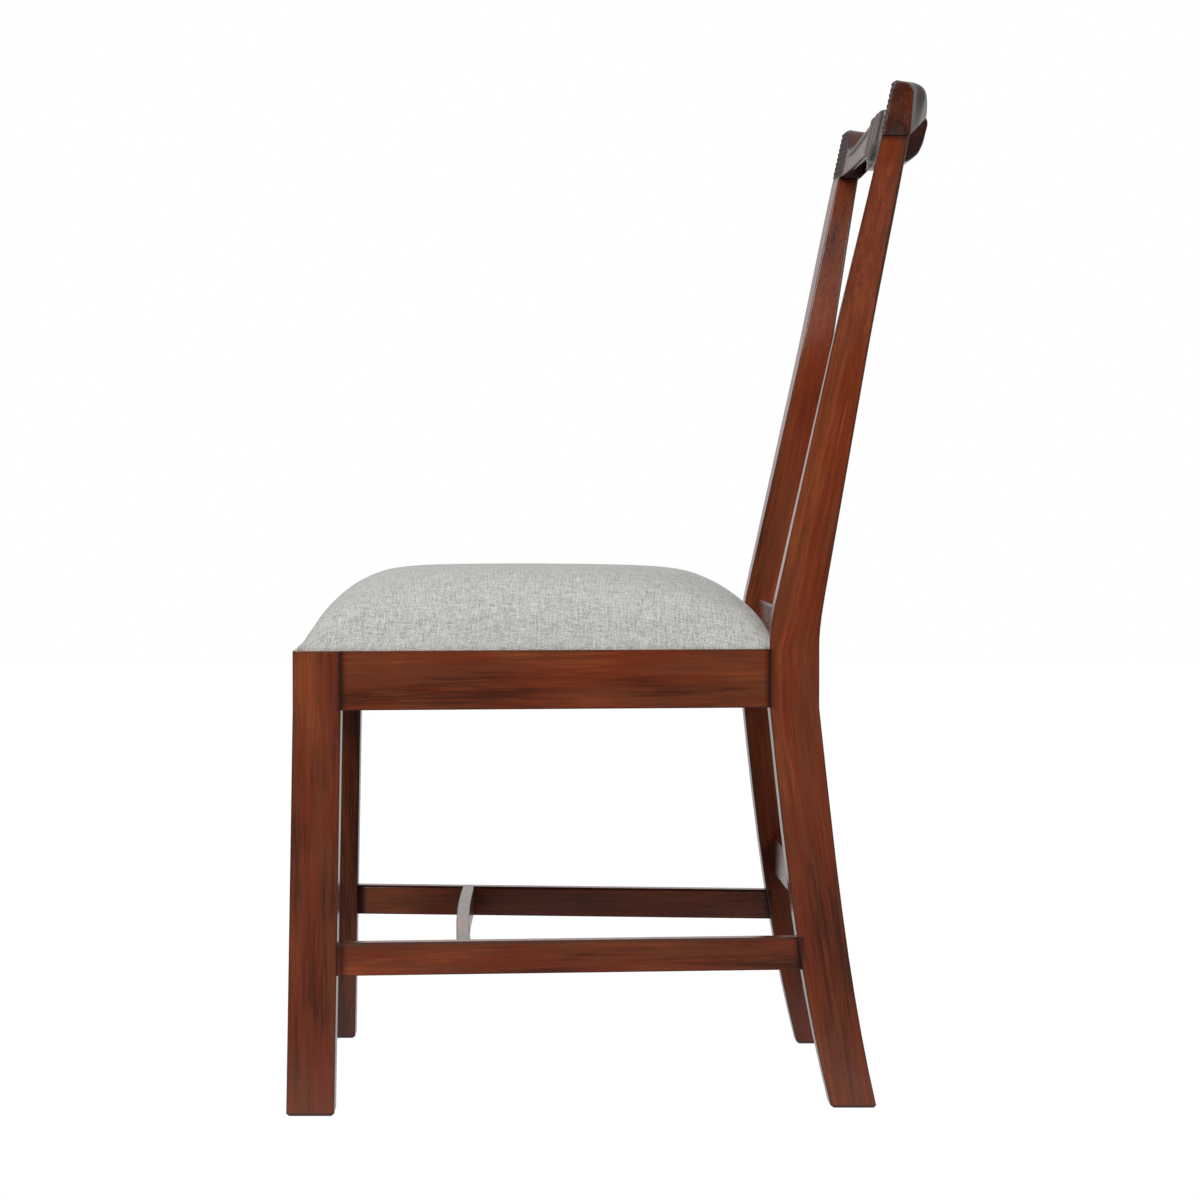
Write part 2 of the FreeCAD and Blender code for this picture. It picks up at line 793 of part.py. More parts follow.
def build():
    """Make every piece and return them by node name."""
    pieces = {}

    # Blanks of the four legs
    front_leg = make_front_leg()
    rear_leg = make_rear_leg()
    legs = Part.makeCompound([front_leg, rear_leg, mirrored(front_leg), mirrored(rear_leg)])

    # Side rails and side stretchers, scribed to the legs
    rail_line = (half_front - rail_setback, half_rear - rail_setback, front_leg_depth, seat_depth)
    rail_body = (rail_thickness, rail_bottom, rail_top)
    rail_tenon_size = (tenon_thickness, tenon_shoulder, side_tenon)
    side_rail = side_bar(*rail_line, *rail_body, rail_arris)
    side_rail = side_rail.fuse(side_tenons(*rail_line, *rail_body, rail_tenon_size, 0))
    rail_mortise = side_tenons(*rail_line, *rail_body, rail_tenon_size, joint_clearance)

    stretcher_bottom = stretcher_top - stretcher_height
    stretcher_middle = stretcher_top - stretcher_height / 2
    lean_there = front_leg_lean * (1 - stretcher_middle / rail_bottom)
    bar_front = front_leg_depth - lean_there
    bar_rear = post_front(stretcher_middle)
    bar_line = (half_front - stretcher_setback, half_rear - stretcher_setback, bar_front, bar_rear)
    bar_body = (stretcher_thickness, stretcher_bottom, stretcher_top)
    bar_tenon_size = (stretcher_tenon_thickness, stretcher_tenon_shoulder, stretcher_tenon)
    side_stretcher = side_bar(*bar_line, *bar_body, stretcher_edge, stretcher_tenon / 2)
    side_stretcher = side_stretcher.cut([front_leg, rear_leg])
    side_stretcher = side_stretcher.fuse(side_tenons(*bar_line, *bar_body, bar_tenon_size, 0))
    bar_mortise = side_tenons(*bar_line, *bar_body, bar_tenon_size, joint_clearance)

    # Front rail
    front_length = half_front - front_leg_width
    front_low = rail_bottom + tenon_shoulder
    front_high = rail_top - board_thickness - tenon_shoulder / 2
    front_y = rail_setback + (rail_thickness - tenon_thickness) / 2
    front_rail = across(rail_setback, rail_setback + rail_thickness, rail_bottom, rail_top, front_length)
    front_rail = front_rail.fuse(across(front_y, front_y + tenon_thickness, front_low, front_high,
                                        front_length + front_tenon))
    front_mortise = across(front_y - joint_clearance, front_y + tenon_thickness + joint_clearance,
                           front_low - joint_clearance, front_high + joint_clearance,
                           front_length + front_tenon + joint_clearance)

    # Rear rail and rear stretcher
    rear_y = seat_depth + (rear_rail_thickness - tenon_thickness) / 2
    rear_back = seat_depth + rear_rail_thickness
    rear_rail = across(seat_depth, rear_back, rail_bottom, rail_top, post_inner_x)
    rear_rail = rear_rail.fuse(across(rear_y, rear_y + tenon_thickness, front_low, front_high,
                                      post_inner_x + rear_tenon))
    rear_mortise = across(rear_y - joint_clearance, rear_y + tenon_thickness + joint_clearance,
                          front_low - joint_clearance, front_high + joint_clearance,
                          post_inner_x + rear_tenon + joint_clearance)
    back_level = rear_stretcher_top - rear_stretcher_height / 2
    back_low = rear_stretcher_top - rear_stretcher_height
    back_mid = post_front(back_level) + post_depth(back_level) / 2
    half_bar = rear_stretcher_thickness / 2
    half_tenon = stretcher_tenon_thickness / 2
    rear_stretcher = across(back_mid - half_bar, back_mid + half_bar, back_low, rear_stretcher_top,
                            post_inner_x)
    rear_stretcher = rear_stretcher.makeChamfer(rail_arris, long_edges(rear_stretcher, V(1, 0, 0)))
    rear_stretcher = rear_stretcher.fuse(
        across(back_mid - half_tenon, back_mid + half_tenon, back_low + stretcher_tenon_shoulder,
               rear_stretcher_top - stretcher_tenon_shoulder, post_inner_x + rear_tenon))
    back_mortise = across(back_mid - half_tenon - joint_clearance, back_mid + half_tenon + joint_clearance,
                          back_low + stretcher_tenon_shoulder - joint_clearance,
                          rear_stretcher_top - stretcher_tenon_shoulder + joint_clearance,
                          post_inner_x + rear_tenon + joint_clearance)

    # Cross stretcher between the side stretchers
    bars = Part.makeCompound([side_stretcher, mirrored(side_stretcher)])
    cross_stretcher = bowed_bar(cross_stretcher_front, cross_stretcher_thickness, half_front,
                                stretcher_bottom + stretcher_edge, stretcher_top, cross_stretcher_bow)
    cross_stretcher = cross_stretcher.makeChamfer(
        stretcher_edge / 2, [edge for edge in rim_edges(cross_stretcher, stretcher_top)
                             if edge.BoundBox.XLength > half_front])
    cross_parts = cross_stretcher.cut(bars).Solids
    cross_stretcher = min(cross_parts, key=lambda part: abs(part.CenterOfMass.x))
    inner_reach = cross_stretcher.BoundBox.XMax
    cross_y = cross_stretcher_front + (cross_stretcher_thickness - tenon_thickness) / 2
    cross_low = stretcher_bottom + stretcher_tenon_shoulder
    cross_high = stretcher_top - stretcher_tenon_shoulder
    cross_reach = inner_reach + cross_tenon
    cross_room = cross_reach + joint_clearance
    cross_slots = []
    for sign in (1, -1):
        ends = sorted((sign * (inner_reach - cross_tenon), sign * cross_reach))
        cross_stretcher = cross_stretcher.fuse(
            box(ends[0], ends[1], cross_y, cross_y + tenon_thickness, cross_low, cross_high))
        ends = sorted((sign * (inner_reach - cross_tenon), sign * cross_room))
        cross_slots.append(box(ends[0], ends[1], cross_y - joint_clearance,
                               cross_y + tenon_thickness + joint_clearance,
                               cross_low - joint_clearance, cross_high + joint_clearance))

    # Top rail, its sockets for the posts, the splat and the shoe
    crest = make_crest()
    top_x = post_outer(joint_height) - rear_leg_width / 2
    top_y = post_front(joint_height) + post_top_depth / 2 + post_tenon_shift
    tenon_up = box(top_x - post_tenon_width / 2, top_x + post_tenon_width / 2,
                   top_y - post_tenon_thickness / 2, top_y + post_tenon_thickness / 2,
                   joint_height - overrun, joint_height + post_tenon)
    socket = box(top_x - post_tenon_width / 2 - joint_clearance,
                 top_x + post_tenon_width / 2 + joint_clearance,
                 top_y - post_tenon_thickness / 2 - joint_clearance,
                 top_y + post_tenon_thickness / 2 + joint_clearance,
                 joint_height - overrun, joint_height + post_tenon + joint_clearance)
    splat = pierce(make_splat(0))
    splat_room = make_splat(joint_clearance)
    head_room = box(-half_rear, half_rear, seat_depth, 2 * seat_depth, crest_apron - overrun, ear_top)
    foot_room = box(-half_rear, half_rear, seat_depth, 2 * seat_depth, rail_top, shoe_top + overrun)
    crest = crest.cut([socket, mirrored(socket), splat_room.common(head_room)])
    splat = splat.cut(crest)
    shoe = make_shoe().cut(legs).cut(splat_room.common(foot_room))
    shoe = max(shoe.Solids, key=lambda part: part.Volume)

    # Seat pocket and seat
    pocket = seat_prism(-seat_fit, ledge_height, rail_top + overrun)
    outer = seat_prism(0, ledge_height, rail_top).fuse(seat_crown(0, crown_height))
    outer = outer.cut(post_notches(post_notch_gap)).removeSplitter()
    inner = seat_prism(cover_thickness, ledge_height + cover_thickness, rail_top)
    inner = inner.fuse(seat_crown(cover_thickness, crown_height - cover_thickness))
    inner = inner.cut(post_notches(post_notch_gap + cover_thickness)).removeSplitter()
    board_top = ledge_height + cover_thickness + board_thickness
    board_space = box(-half_front, half_front, -overrun, seat_back + overrun, ledge_height, board_top)
    board = inner.common(board_space)
    foam = inner.cut(board_space)
    opening = seat_prism(cover_flange, ledge_height - overrun, ledge_height + cover_thickness)
    cover = outer.cut([inner, opening])
    dust_cover = interior(dust_cover_margin, ledge_height - dust_cover_thickness, ledge_height)
    leg_corner = box(half_front - front_leg_width - dust_cover_margin, half_front, 0,
                     front_leg_depth + dust_cover_margin, rail_bottom, rail_top)
    dust_cover = dust_cover.cut([leg_corner, mirrored(leg_corner)])

    # Corner blocks
    room = interior(0, interior_top - block_height, interior_top)
    front_corner = (half_front - front_leg_width, front_leg_depth, -1, 1)
    rear_corner = (post_inner_x, seat_depth, -1, -1)
    corners = {"front": front_corner, "rear": rear_corner}
    blocks = {}
    seat_screws = []
    frame_screws = []
    holes = []
    for place, (x, y, turn_x, turn_y) in corners.items():
        blocks[place] = make_block(x, y, turn_x, turn_y, room)
        for i, (tip, head) in enumerate(block_screws(x, y, turn_x, turn_y)):
            one = screw(tip, head, screw_radius, screw_head_radius, screw_head_height)
            group = seat_screws if i == 0 else frame_screws
            group += [one, mirrored(one)]
            hole = screw_hole(tip, head)
            holes += [hole, mirrored(hole)]

    # Staples round the dust cover
    staples = [staple(*place, 0) for place in staple_places()]
    staple_holes = [staple(*place, staple_clearance) for place in staple_places()]

    # Cut the joints and openings, then name the pieces
    left_mortises = [rail_mortise, bar_mortise]
    front_leg = front_leg.cut(left_mortises + [front_mortise, pocket])
    rear_leg = rear_leg.fuse(tenon_up).cut(left_mortises + [rear_mortise, back_mortise])
    side_rail = side_rail.cut([pocket] + holes)
    side_stretcher = side_stretcher.cut(cross_slots)
    board = board.cut(holes + staple_holes)
    cover = cover.cut(holes + staple_holes)
    dust_cover = dust_cover.cut(holes + staple_holes)

    for side, place in (("left", lambda shape: shape), ("right", mirrored)):
        pieces["front_leg_" + side] = place(front_leg)
        pieces["rear_leg_" + side] = place(rear_leg)
        pieces["side_rail_" + side] = place(side_rail)
        pieces["side_stretcher_" + side] = place(side_stretcher)
        for where, block in blocks.items():
            pieces["corner_block_" + where + "_" + side] = place(block.cut(holes))
    pieces["front_rail"] = front_rail.cut([pocket] + holes)
    pieces["rear_rail"] = rear_rail.cut([pocket] + holes)
    pieces["cross_stretcher"] = cross_stretcher
    pieces["rear_stretcher"] = rear_stretcher
    pieces["crest_rail"] = crest
    pieces["splat"] = splat
    pieces["splat_shoe"] = shoe
    pieces["seat_board"] = board
    pieces["seat_foam"] = foam
    pieces["seat_cover"] = cover
    pieces["dust_cover"] = dust_cover
    pieces["seat_screws"] = Part.makeCompound(seat_screws)
    pieces["corner_block_screws"] = Part.makeCompound(frame_screws)
    pieces["cover_staples"] = Part.makeCompound(staples)
    return pieces


def main():
    """Build the chair, centre it over the origin and write one file for each node."""
    pieces = build()
    boxes = [shape.optimalBoundingBox(False, False) for shape in pieces.values()]
    middle = (min(b.YMin for b in boxes) + max(b.YMax for b in boxes)) / 2
    os.makedirs("parts", exist_ok=True)
    for name, shape in pieces.items():
        placed = shape.translated(V(0, -middle, 0))
        solids = placed.Solids
        placed = solids[0] if len(solids) == 1 else Part.makeCompound(solids)
        placed.exportStep(os.path.join("parts", name + ".step"))
        print(name, "solids", len(solids), "valid", placed.isValid(),
              "volume", round(placed.Volume, 1))
    print("nodes", len(pieces), "depth", round(max(b.YMax for b in boxes) - min(b.YMin for b in boxes), 1))
    print("depth offset", round(middle, 2))


main()
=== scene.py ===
# %% [markdown]
# A side chair in lacquered mahogany, with a carved top rail and an upholstered seat.
#
# The joinery comes in as a fixed frame: legs, rails, stretchers, splat and screws at their real
# size. The lesson dresses it. Everything is in metres, +Z is up, the sitter looks along -Y, and
# the sitter's left side is +X. Sizes in millimetres are written as a number times MM.

# %% Load the frame
import math

import bpy
import numpy as np
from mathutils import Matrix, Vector


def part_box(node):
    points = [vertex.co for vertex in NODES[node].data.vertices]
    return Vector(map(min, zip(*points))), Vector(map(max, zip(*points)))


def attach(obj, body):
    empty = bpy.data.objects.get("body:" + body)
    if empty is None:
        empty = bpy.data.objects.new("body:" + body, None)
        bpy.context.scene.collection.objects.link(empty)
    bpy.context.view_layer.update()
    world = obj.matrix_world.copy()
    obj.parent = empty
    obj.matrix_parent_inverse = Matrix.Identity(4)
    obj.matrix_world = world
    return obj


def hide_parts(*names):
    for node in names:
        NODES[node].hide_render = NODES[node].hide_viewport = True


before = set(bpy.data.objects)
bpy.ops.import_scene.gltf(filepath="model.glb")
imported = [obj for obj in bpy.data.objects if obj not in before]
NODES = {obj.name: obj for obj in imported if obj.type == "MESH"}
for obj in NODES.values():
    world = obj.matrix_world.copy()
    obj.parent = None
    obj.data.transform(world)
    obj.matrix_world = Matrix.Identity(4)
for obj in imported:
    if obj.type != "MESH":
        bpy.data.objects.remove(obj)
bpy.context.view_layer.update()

MM = 0.001

# %% [markdown]
# The camera stands 3.8 m away on the sitter's left, a little above the seat, with a long lens.
# Its place comes from matching the near and far legs, rails and posts, which are the same size
# on the real chair and so tell how far away each side is.

# %% Camera
CAMERA_PLACE = (3.7742, -0.1071, 0.5799)
CAMERA_YAW = 0.0002
CAMERA_PITCH = 0.0287
SENSOR = 36.0
LENS = 113.57
SHIFT = (0.0808, 0.0005)

view_axis = Vector((
    -math.cos(CAMERA_YAW) * math.cos(CAMERA_PITCH),
    math.sin(CAMERA_YAW) * math.cos(CAMERA_PITCH),
    -math.sin(CAMERA_PITCH),
))
camera_data = bpy.data.cameras.new("camera")
camera_data.sensor_width = SENSOR
camera_data.lens = LENS
camera_data.shift_x, camera_data.shift_y = SHIFT
camera = bpy.data.objects.new("camera", camera_data)
bpy.context.scene.collection.objects.link(camera)
camera.location = CAMERA_PLACE
camera.rotation_euler = view_axis.to_track_quat("-Z", "Y").to_euler()
bpy.context.scene.camera = camera
bpy.context.scene.view_settings.view_transform = "Standard"
print("camera at", CAMERA_PLACE, "lens", LENS)

# %% [markdown]
# Materials are node trees. Nodes could be wired one at a time, but sums are easier to read, so a
# small class stands for one socket's value and turns each Python operator into a Math node. One
# method makes any other node: its settings go in first, then the values or links of its sockets.

# %% Shader sums
class Signal:
    """The value of one output socket, ready for use in sums."""

    def __init__(self, finish, socket):
        self.finish = finish
        self.socket = socket

    def __add__(self, other):
        return self.finish.maths("ADD", self, other)

    def __sub__(self, other):
        return self.finish.maths("SUBTRACT", self, other)

    def __rsub__(self, other):
        return self.finish.maths("SUBTRACT", other, self)

    def __mul__(self, other):
        return self.finish.maths("MULTIPLY", self, other)

    def __truediv__(self, other):
        return self.finish.maths("DIVIDE", self, other)

    __radd__ = __add__
    __rmul__ = __mul__


class Finish:
    """A material, or the world, whose nodes are made by one method."""

    def __init__(self, name, holder=None):
        self.holder = holder or bpy.data.materials.new(name)
        self.holder.use_nodes = True
        self.tree = self.holder.node_tree
        self.tree.nodes.clear()

    def node(self, kind, values=None, out=0, stops=None, **settings):
        """Add a node and return one of its outputs; values maps sockets to numbers or signals."""
        made = self.tree.nodes.new(kind)
        for key, value in settings.items():
            setattr(made, key, value)
        if stops:
            ramp = made.color_ramp
            ramp.elements.remove(ramp.elements[1])
            ramp.elements[0].position, ramp.elements[0].color = stops[0]
            for place, colour in stops[1:]:
                ramp.elements.new(place).color = colour
        for key, value in (values or {}).items():
            if isinstance(value, Signal):
                self.tree.links.new(value.socket, made.inputs[key])
            else:
                made.inputs[key].default_value = value
        return Signal(self, made.outputs[out]) if made.outputs else None

    def maths(self, operation, *terms):
        """A Math node on one, two or three terms."""
        return self.node("ShaderNodeMath", dict(enumerate(terms)), operation=operation)

    def step(self, value, start, end):
        """A smooth rise from 0 at start to 1 at end, whichever of the two is the larger."""
        return self.node("ShaderNodeMapRange", {0: value, 1: start, 2: end}, interpolation_type="SMOOTHSTEP")

    def mix(self, factor, first, second):
        """A colour between two."""
        return self.node("ShaderNodeMix", {0: factor, 6: first, 7: second}, out=2, data_type="RGBA")

    def ramp(self, value, stops):
        """A colour that follows a value through stops of (place, colour)."""
        return self.node("ShaderNodeValToRGB", {0: value}, stops=stops)

    def axes(self, kind="Object"):
        """The three coordinates of a point: its own place, or a UV map's."""
        place = self.node("ShaderNodeTexCoord", out=kind)
        return [self.node("ShaderNodeSeparateXYZ", {0: place}, out=axis) for axis in range(3)]

    def noise(self, a, b, c, detail=2.0, rough=0.5):
        """Soft noise about 0.5 over three coordinates that are already scaled."""
        place = self.node("ShaderNodeCombineXYZ", {0: a, 1: b, 2: c})
        return self.node("ShaderNodeTexNoise", {"Vector": place, "Scale": 1.0, "Detail": detail,
                                                "Roughness": rough})

    def bump(self, height, strength, distance, **more):
        """A normal tilted by a height that varies over the surface; distance is the height of 1."""
        values = {"Strength": strength, "Distance": distance, "Height": height, **more}
        return self.node("ShaderNodeBump", values)

    def surface(self, values):
        """End the material in a Principled shader with these sockets."""
        shader = self.node("ShaderNodeBsdfPrincipled", values)
        self.node("ShaderNodeOutputMaterial", {"Surface": shader})
        return self.holder


def opaque(red, green, blue):
    """A colour with full alpha."""
    return (red, green, blue, 1.0)

# %% [markdown]
# The light is a pale studio. Wide soft lamps stand high on the sitter's left, in front and
# behind, so the faces towards the camera are evenly lit and the legs beyond lie in the shade of
# the seat. A low lamp on the sitter's right lights the far side, and polish doesn't mirror it.
# What polished wood mirrors matters as much as what lights it: the room is pale on every side
# but the one behind the camera, so faces seen at a slant turn pale grey and faces seen squarely
# stay dark. The room's own soft light comes from above.

# %% World and lamps
WHITE = opaque(1, 1, 1)
ROOM_LOW = 0.04
ROOM_HIGH = 0.43
ROOM_MIRRORED = 0.68
ROOM_BEHIND_CAMERA = 0.03
SKY_RISE = (0.0, 0.9)
BEHIND_RISE = (0.3, 0.85)
CHAIR_MIDDLE = Vector((0.0, 0.0, 0.5))

room = Finish("studio", bpy.data.worlds.new("studio"))
bpy.context.scene.world = room.holder
room_axes = room.axes("Generated")
behind_camera = room.step(room_axes[0], *BEHIND_RISE)
mirrored = ROOM_MIRRORED + behind_camera * (ROOM_BEHIND_CAMERA - ROOM_MIRRORED)
ambient = ROOM_LOW + room.step(room_axes[2], *SKY_RISE) * (ROOM_HIGH - ROOM_LOW)
seen = room.node("ShaderNodeLightPath", out="Is Camera Ray")
glossy = room.node("ShaderNodeLightPath", out="Is Glossy Ray")
level = ambient + glossy * (mirrored - ambient) + seen * (1.0 - ambient)
backdrop = room.node("ShaderNodeBackground", {"Color": WHITE, "Strength": level})
room.node("ShaderNodeOutputWorld", {"Surface": backdrop})


def soft_lamp(name, place, size, power, mirrored=True):
    """A square soft lamp aimed at the middle of the chair: its side in metres, its power in watts."""
    lamp = bpy.data.lights.new(name, "AREA")
    lamp.size = size
    lamp.energy = power
    holder = bpy.data.objects.new(name, lamp)
    holder.location = place
    holder.rotation_euler = (CHAIR_MIDDLE - Vector(place)).to_track_quat("-Z", "Y").to_euler()
    holder.visible_glossy = mirrored
    bpy.context.scene.collection.objects.link(holder)


soft_lamp("key", (4.5, -1.35, 3.9), 2.6, 217.0)
soft_lamp("fill_front", (1.0, -2.8, 2.6), 2.0, 29.0)
soft_lamp("fill_right", (-3.0, -0.6, 1.2), 1.6, 42.0, mirrored=False)
soft_lamp("fill_back", (1.8, 2.6, 2.6), 2.0, 36.0)
print("lamps", len(bpy.data.lights))

# %% [markdown]
# The floor is a wide pale sheet. Seen by the camera it is nearly all its own white, with a little
# of the real light mixed in, so that it meets the white room without a line and still keeps the
# chair's soft shadow. Polish mirrors it as pale as the room, and darker towards the camera.

# %% Floor
FLOOR_REACH = 9.0
FLOOR_WHITE_SHARE = 0.86
FLOOR_WHITE = 1.15
FLOOR_GREY = opaque(0.32, 0.32, 0.32)
FLOOR_BEHIND_CAMERA = 0.20
FLOOR_RISE = (0.3, 0.9)
FLOOR_CORNERS = [(-1, -1), (1, -1), (1, 1), (-1, 1)]

floor_mesh = bpy.data.meshes.new("floor")
floor_points = [(x * FLOOR_REACH, y * FLOOR_REACH, 0.0) for x, y in FLOOR_CORNERS]
floor_mesh.from_pydata(floor_points, [], [(0, 1, 2, 3)])
floor = bpy.data.objects.new("floor", floor_mesh)
bpy.context.scene.collection.objects.link(floor)
paper = Finish("floor_paper")
paper_seen = paper.node("ShaderNodeLightPath", out="Is Camera Ray")
paper_glossy = paper.node("ShaderNodeLightPath", out="Is Glossy Ray")
paper_behind = paper.step(paper.axes()[0], *FLOOR_RISE)
paper_mirrored = ROOM_MIRRORED + paper_behind * (FLOOR_BEHIND_CAMERA - ROOM_MIRRORED)
paper_level = paper_seen * FLOOR_WHITE + paper_glossy * paper_mirrored
paper_dull = paper.node("ShaderNodeBsdfDiffuse", {"Color": FLOOR_GREY})
paper_white = paper.node("ShaderNodeEmission", {"Color": WHITE, "Strength": paper_level})
paper_share = (paper_seen + paper_glossy) * FLOOR_WHITE_SHARE
paper_mixed = paper.node("ShaderNodeMixShader", {0: paper_share, 1: paper_dull, 2: paper_white})
paper.node("ShaderNodeOutputMaterial", {"Surface": paper_mixed})
floor_mesh.materials.append(paper.holder)
print("floor", 2 * FLOOR_REACH, "m across")

# %% [markdown]
# Mahogany is a red-brown wood with short dark pores drawn out along the grain, ribbons where the
# fibres weave from side to side, and slow drifts from red to brown over the board. A picture of
# wood could be wrapped round each piece, but then the grain would stop at the edges. Here each
# of these layers is noise in space, stretched along the piece's own length, so the grain runs
# through the piece as it does in timber.
#
# The stain has gathered dark in the joints, at named places along each piece, and at the
# arrises. The Bevel node finds these: its rounded normal leans halfway between two faces there.
# Lacquer over everything makes the wood smooth, so the roughness is low and the pores shallow.

# %% Colours and layers of mahogany
WOOD_DARK = opaque(0.060, 0.0125, 0.0050)
WOOD_RED = opaque(0.165, 0.0275, 0.0080)
WOOD_BROWN = opaque(0.152, 0.0365, 0.0125)
WOOD_LIGHT = opaque(0.275, 0.0600, 0.0175)
WOOD_EDGE = opaque(0.012, 0.0032, 0.0018)

# Each layer of noise as waves to a metre: across the grain, then along it
DRIFT_WAVES = (24.0, 6.0)
HUE_WAVES = (45.0, 9.0)
WEAVE_WAVES = (60.0, 1.5)
RIBBON_WAVES = (230.0, 9.0)
FIBRE_WAVES = (700.0, 26.0)
PORE_WAVES = (1400.0, 80.0)
WEAVE_REACH = 0.06
SEED_STEP = 3.7
HUE_SHIFT = 5.0 / HUE_WAVES[1]

# How strongly each layer moves the tone, and where a tone or a value turns from one to the next
DRIFT_CONTRAST = 1.15
RIBBON_CONTRAST = 0.8
FIBRE_CONTRAST = 0.65
HUE_RISE = (0.4, 0.6)
DARK_RISE = (0.52, 0.12)
LIGHT_RISE = (0.5, 0.95)
PORE_RISE = (0.60, 0.72)
ARRIS_RISE = (0.12, 0.8)

ARRIS_RADIUS = 1.3 * MM
JOINT_REACH = 9.0 * MM
PORE_STAIN = 0.55
ARRIS_STAIN = 0.8
JOINT_STAIN = 0.75
# Painted shade: how much darker the carving's hollows are coloured.
CARVING_PAINTED_SHADE = 0.9
LACQUER_ROUGHNESS = 0.17
PORE_DEPTH = 0.05 * MM

# %% [markdown]
# One function makes the whole material, and two small ones find the places where stain gathers.
# Sums of the layers give a tone, and the tone mixes four colours. Stain comes last, over them.

# %% Mahogany
def joint_stain(finish, axes, joints):
    """How much stain lies in the joints: 1 at each place along an axis, fading over JOINT_REACH.

    A joint is (axis, place, lowest z, highest z).
    """
    total = 0.0
    for axis, place, low, high in joints:
        near = 1.0 - finish.step(finish.maths("ABSOLUTE", axes[axis] - place), 0.0, JOINT_REACH)
        level = finish.step(axes["Z"], low - MM, low) * (1.0 - finish.step(axes["Z"], high, high + MM))
        total = finish.maths("MAXIMUM", near * near * level, total)
    return total


def arris_stain(finish, axis):
    """1 at an arris and 0 on a flat face, from one part n of the rounded normal.

    On a flat face n is 0 or 1 and at an arris it lies between, so 4 n n (1 - n n) finds it.
    """
    normal = finish.node("ShaderNodeBevel", {"Radius": ARRIS_RADIUS * 2.0}, samples=4)
    part = finish.node("ShaderNodeSeparateXYZ", {0: normal}, out=axis)
    return finish.step(part * part * (1.0 - part * part) * 4.0, *ARRIS_RISE)


def mahogany(name, grain, seed, depth=0.0, rake=0.0, kick=0.0, slant=0.0, joints=(), carved=""):
    """Lacquered mahogany whose grain runs along X, Y or Z.

    Each seed takes its own stretch of the noise. rake and kick bend the grain with a post above
    and below the rails, slant turns it with a side rail in plan, depth is how much darker than
    the rest the piece is coloured, as stain on some pieces and as painted shade or, below 0,
    painted light on others, joints are the places where other pieces meet it, and carved names
    the mesh attribute that holds the painted shade of the carving's hollows.
    """
    finish = Finish(name)
    x, y, z = finish.axes()
    stain = joint_stain(finish, {"X": x, "Y": y, "Z": z}, joints)
    if rake:
        y = y - finish.maths("MAXIMUM", z - RAIL_TOP, 0.0) * rake
        y = y - finish.maths("MAXIMUM", RAIL_BOTTOM - z, 0.0) * kick
    if slant:
        x = x + y * slant
    along, a, b = {"X": (x, y, z), "Y": (y, x, z), "Z": (z, x, y)}[grain]
    along = along + seed * SEED_STEP

    def layer(waves, way, detail, rough=0.5):
        return finish.noise(a * waves[0], b * waves[0], way * waves[1], detail, rough)

    drift = layer(DRIFT_WAVES, along, 2.0)
    hue = layer(HUE_WAVES, along + HUE_SHIFT, 2.0)
    wander = along + (layer(WEAVE_WAVES, along, 1.0) - 0.5) * WEAVE_REACH
    ribbon = layer(RIBBON_WAVES, wander, 3.0, 0.6)
    fibre = layer(FIBRE_WAVES, wander, 3.0, 0.6)
    pore = finish.step(layer(PORE_WAVES, wander, 1.0), *PORE_RISE)
    tone = 0.5 + (drift - 0.5) * DRIFT_CONTRAST + (ribbon - 0.5) * RIBBON_CONTRAST
    tone = tone + (fibre - 0.5) * FIBRE_CONTRAST - depth
    wood = finish.mix(finish.step(hue, *HUE_RISE), WOOD_RED, WOOD_BROWN)
    wood = finish.mix(finish.step(tone, *DARK_RISE), wood, WOOD_DARK)
    wood = finish.mix(finish.step(tone, *LIGHT_RISE), wood, WOOD_LIGHT)
    wood = finish.mix(pore * PORE_STAIN, wood, WOOD_DARK)
    wood = finish.mix(arris_stain(finish, 1 if grain == "X" else 0) * ARRIS_STAIN, wood, WOOD_EDGE)
    if joints:
        wood = finish.mix(stain * JOINT_STAIN, wood, WOOD_EDGE)
    roughness = LACQUER_ROUGHNESS + fibre * 0.05 + pore * 0.15
    # Painted shade: the carving's hollows and the rail's front face are coloured darker.
    if carved:
        painted_carving_shade = finish.node("ShaderNodeAttribute", out="Fac", attribute_name=carved)
        wood = finish.mix(painted_carving_shade * CARVING_PAINTED_SHADE, wood, WOOD_EDGE)
        roughness = roughness + painted_carving_shade * 0.35
    rounded = finish.node("ShaderNodeBevel", {"Radius": ARRIS_RADIUS}, samples=6)
    relief = finish.bump(fibre * 0.3 - pore, 0.25, PORE_DEPTH, Normal=rounded)
    return finish.surface({"Base Color": wood, "Roughness": roughness, "Normal": relief})

# %% [markdown]
# Every piece of the joinery gets a material of its own, so no two pieces show the same grain.
# The places of the joints come from the frame's own boxes. The far front leg gets painted shade,
# a little darker than the near one, and the far stretcher painted light, a little lighter.

# %% Dress the joinery
POST_RAKE = 0.2185
LEG_KICK = 0.15
SIDE_SLANT = 0.107
TENON = 18.0 * MM
STRETCHER_SET_BACK = 29.0 * MM
RAIL_DEPTH = 0.05
CROSS_DEPTH = 0.03
# Painted shade: the far front leg is coloured darker for the shade that the seat casts on it.
FAR_LEG_PAINTED_SHADE = 0.28
# Painted light: the far stretcher is coloured lighter for the light that falls on it.
FAR_STRETCHER_PAINTED_LIGHT = -0.18
CROSS_PIECES = ("front_rail", "rear_rail", "cross_stretcher", "rear_stretcher", "splat_shoe")

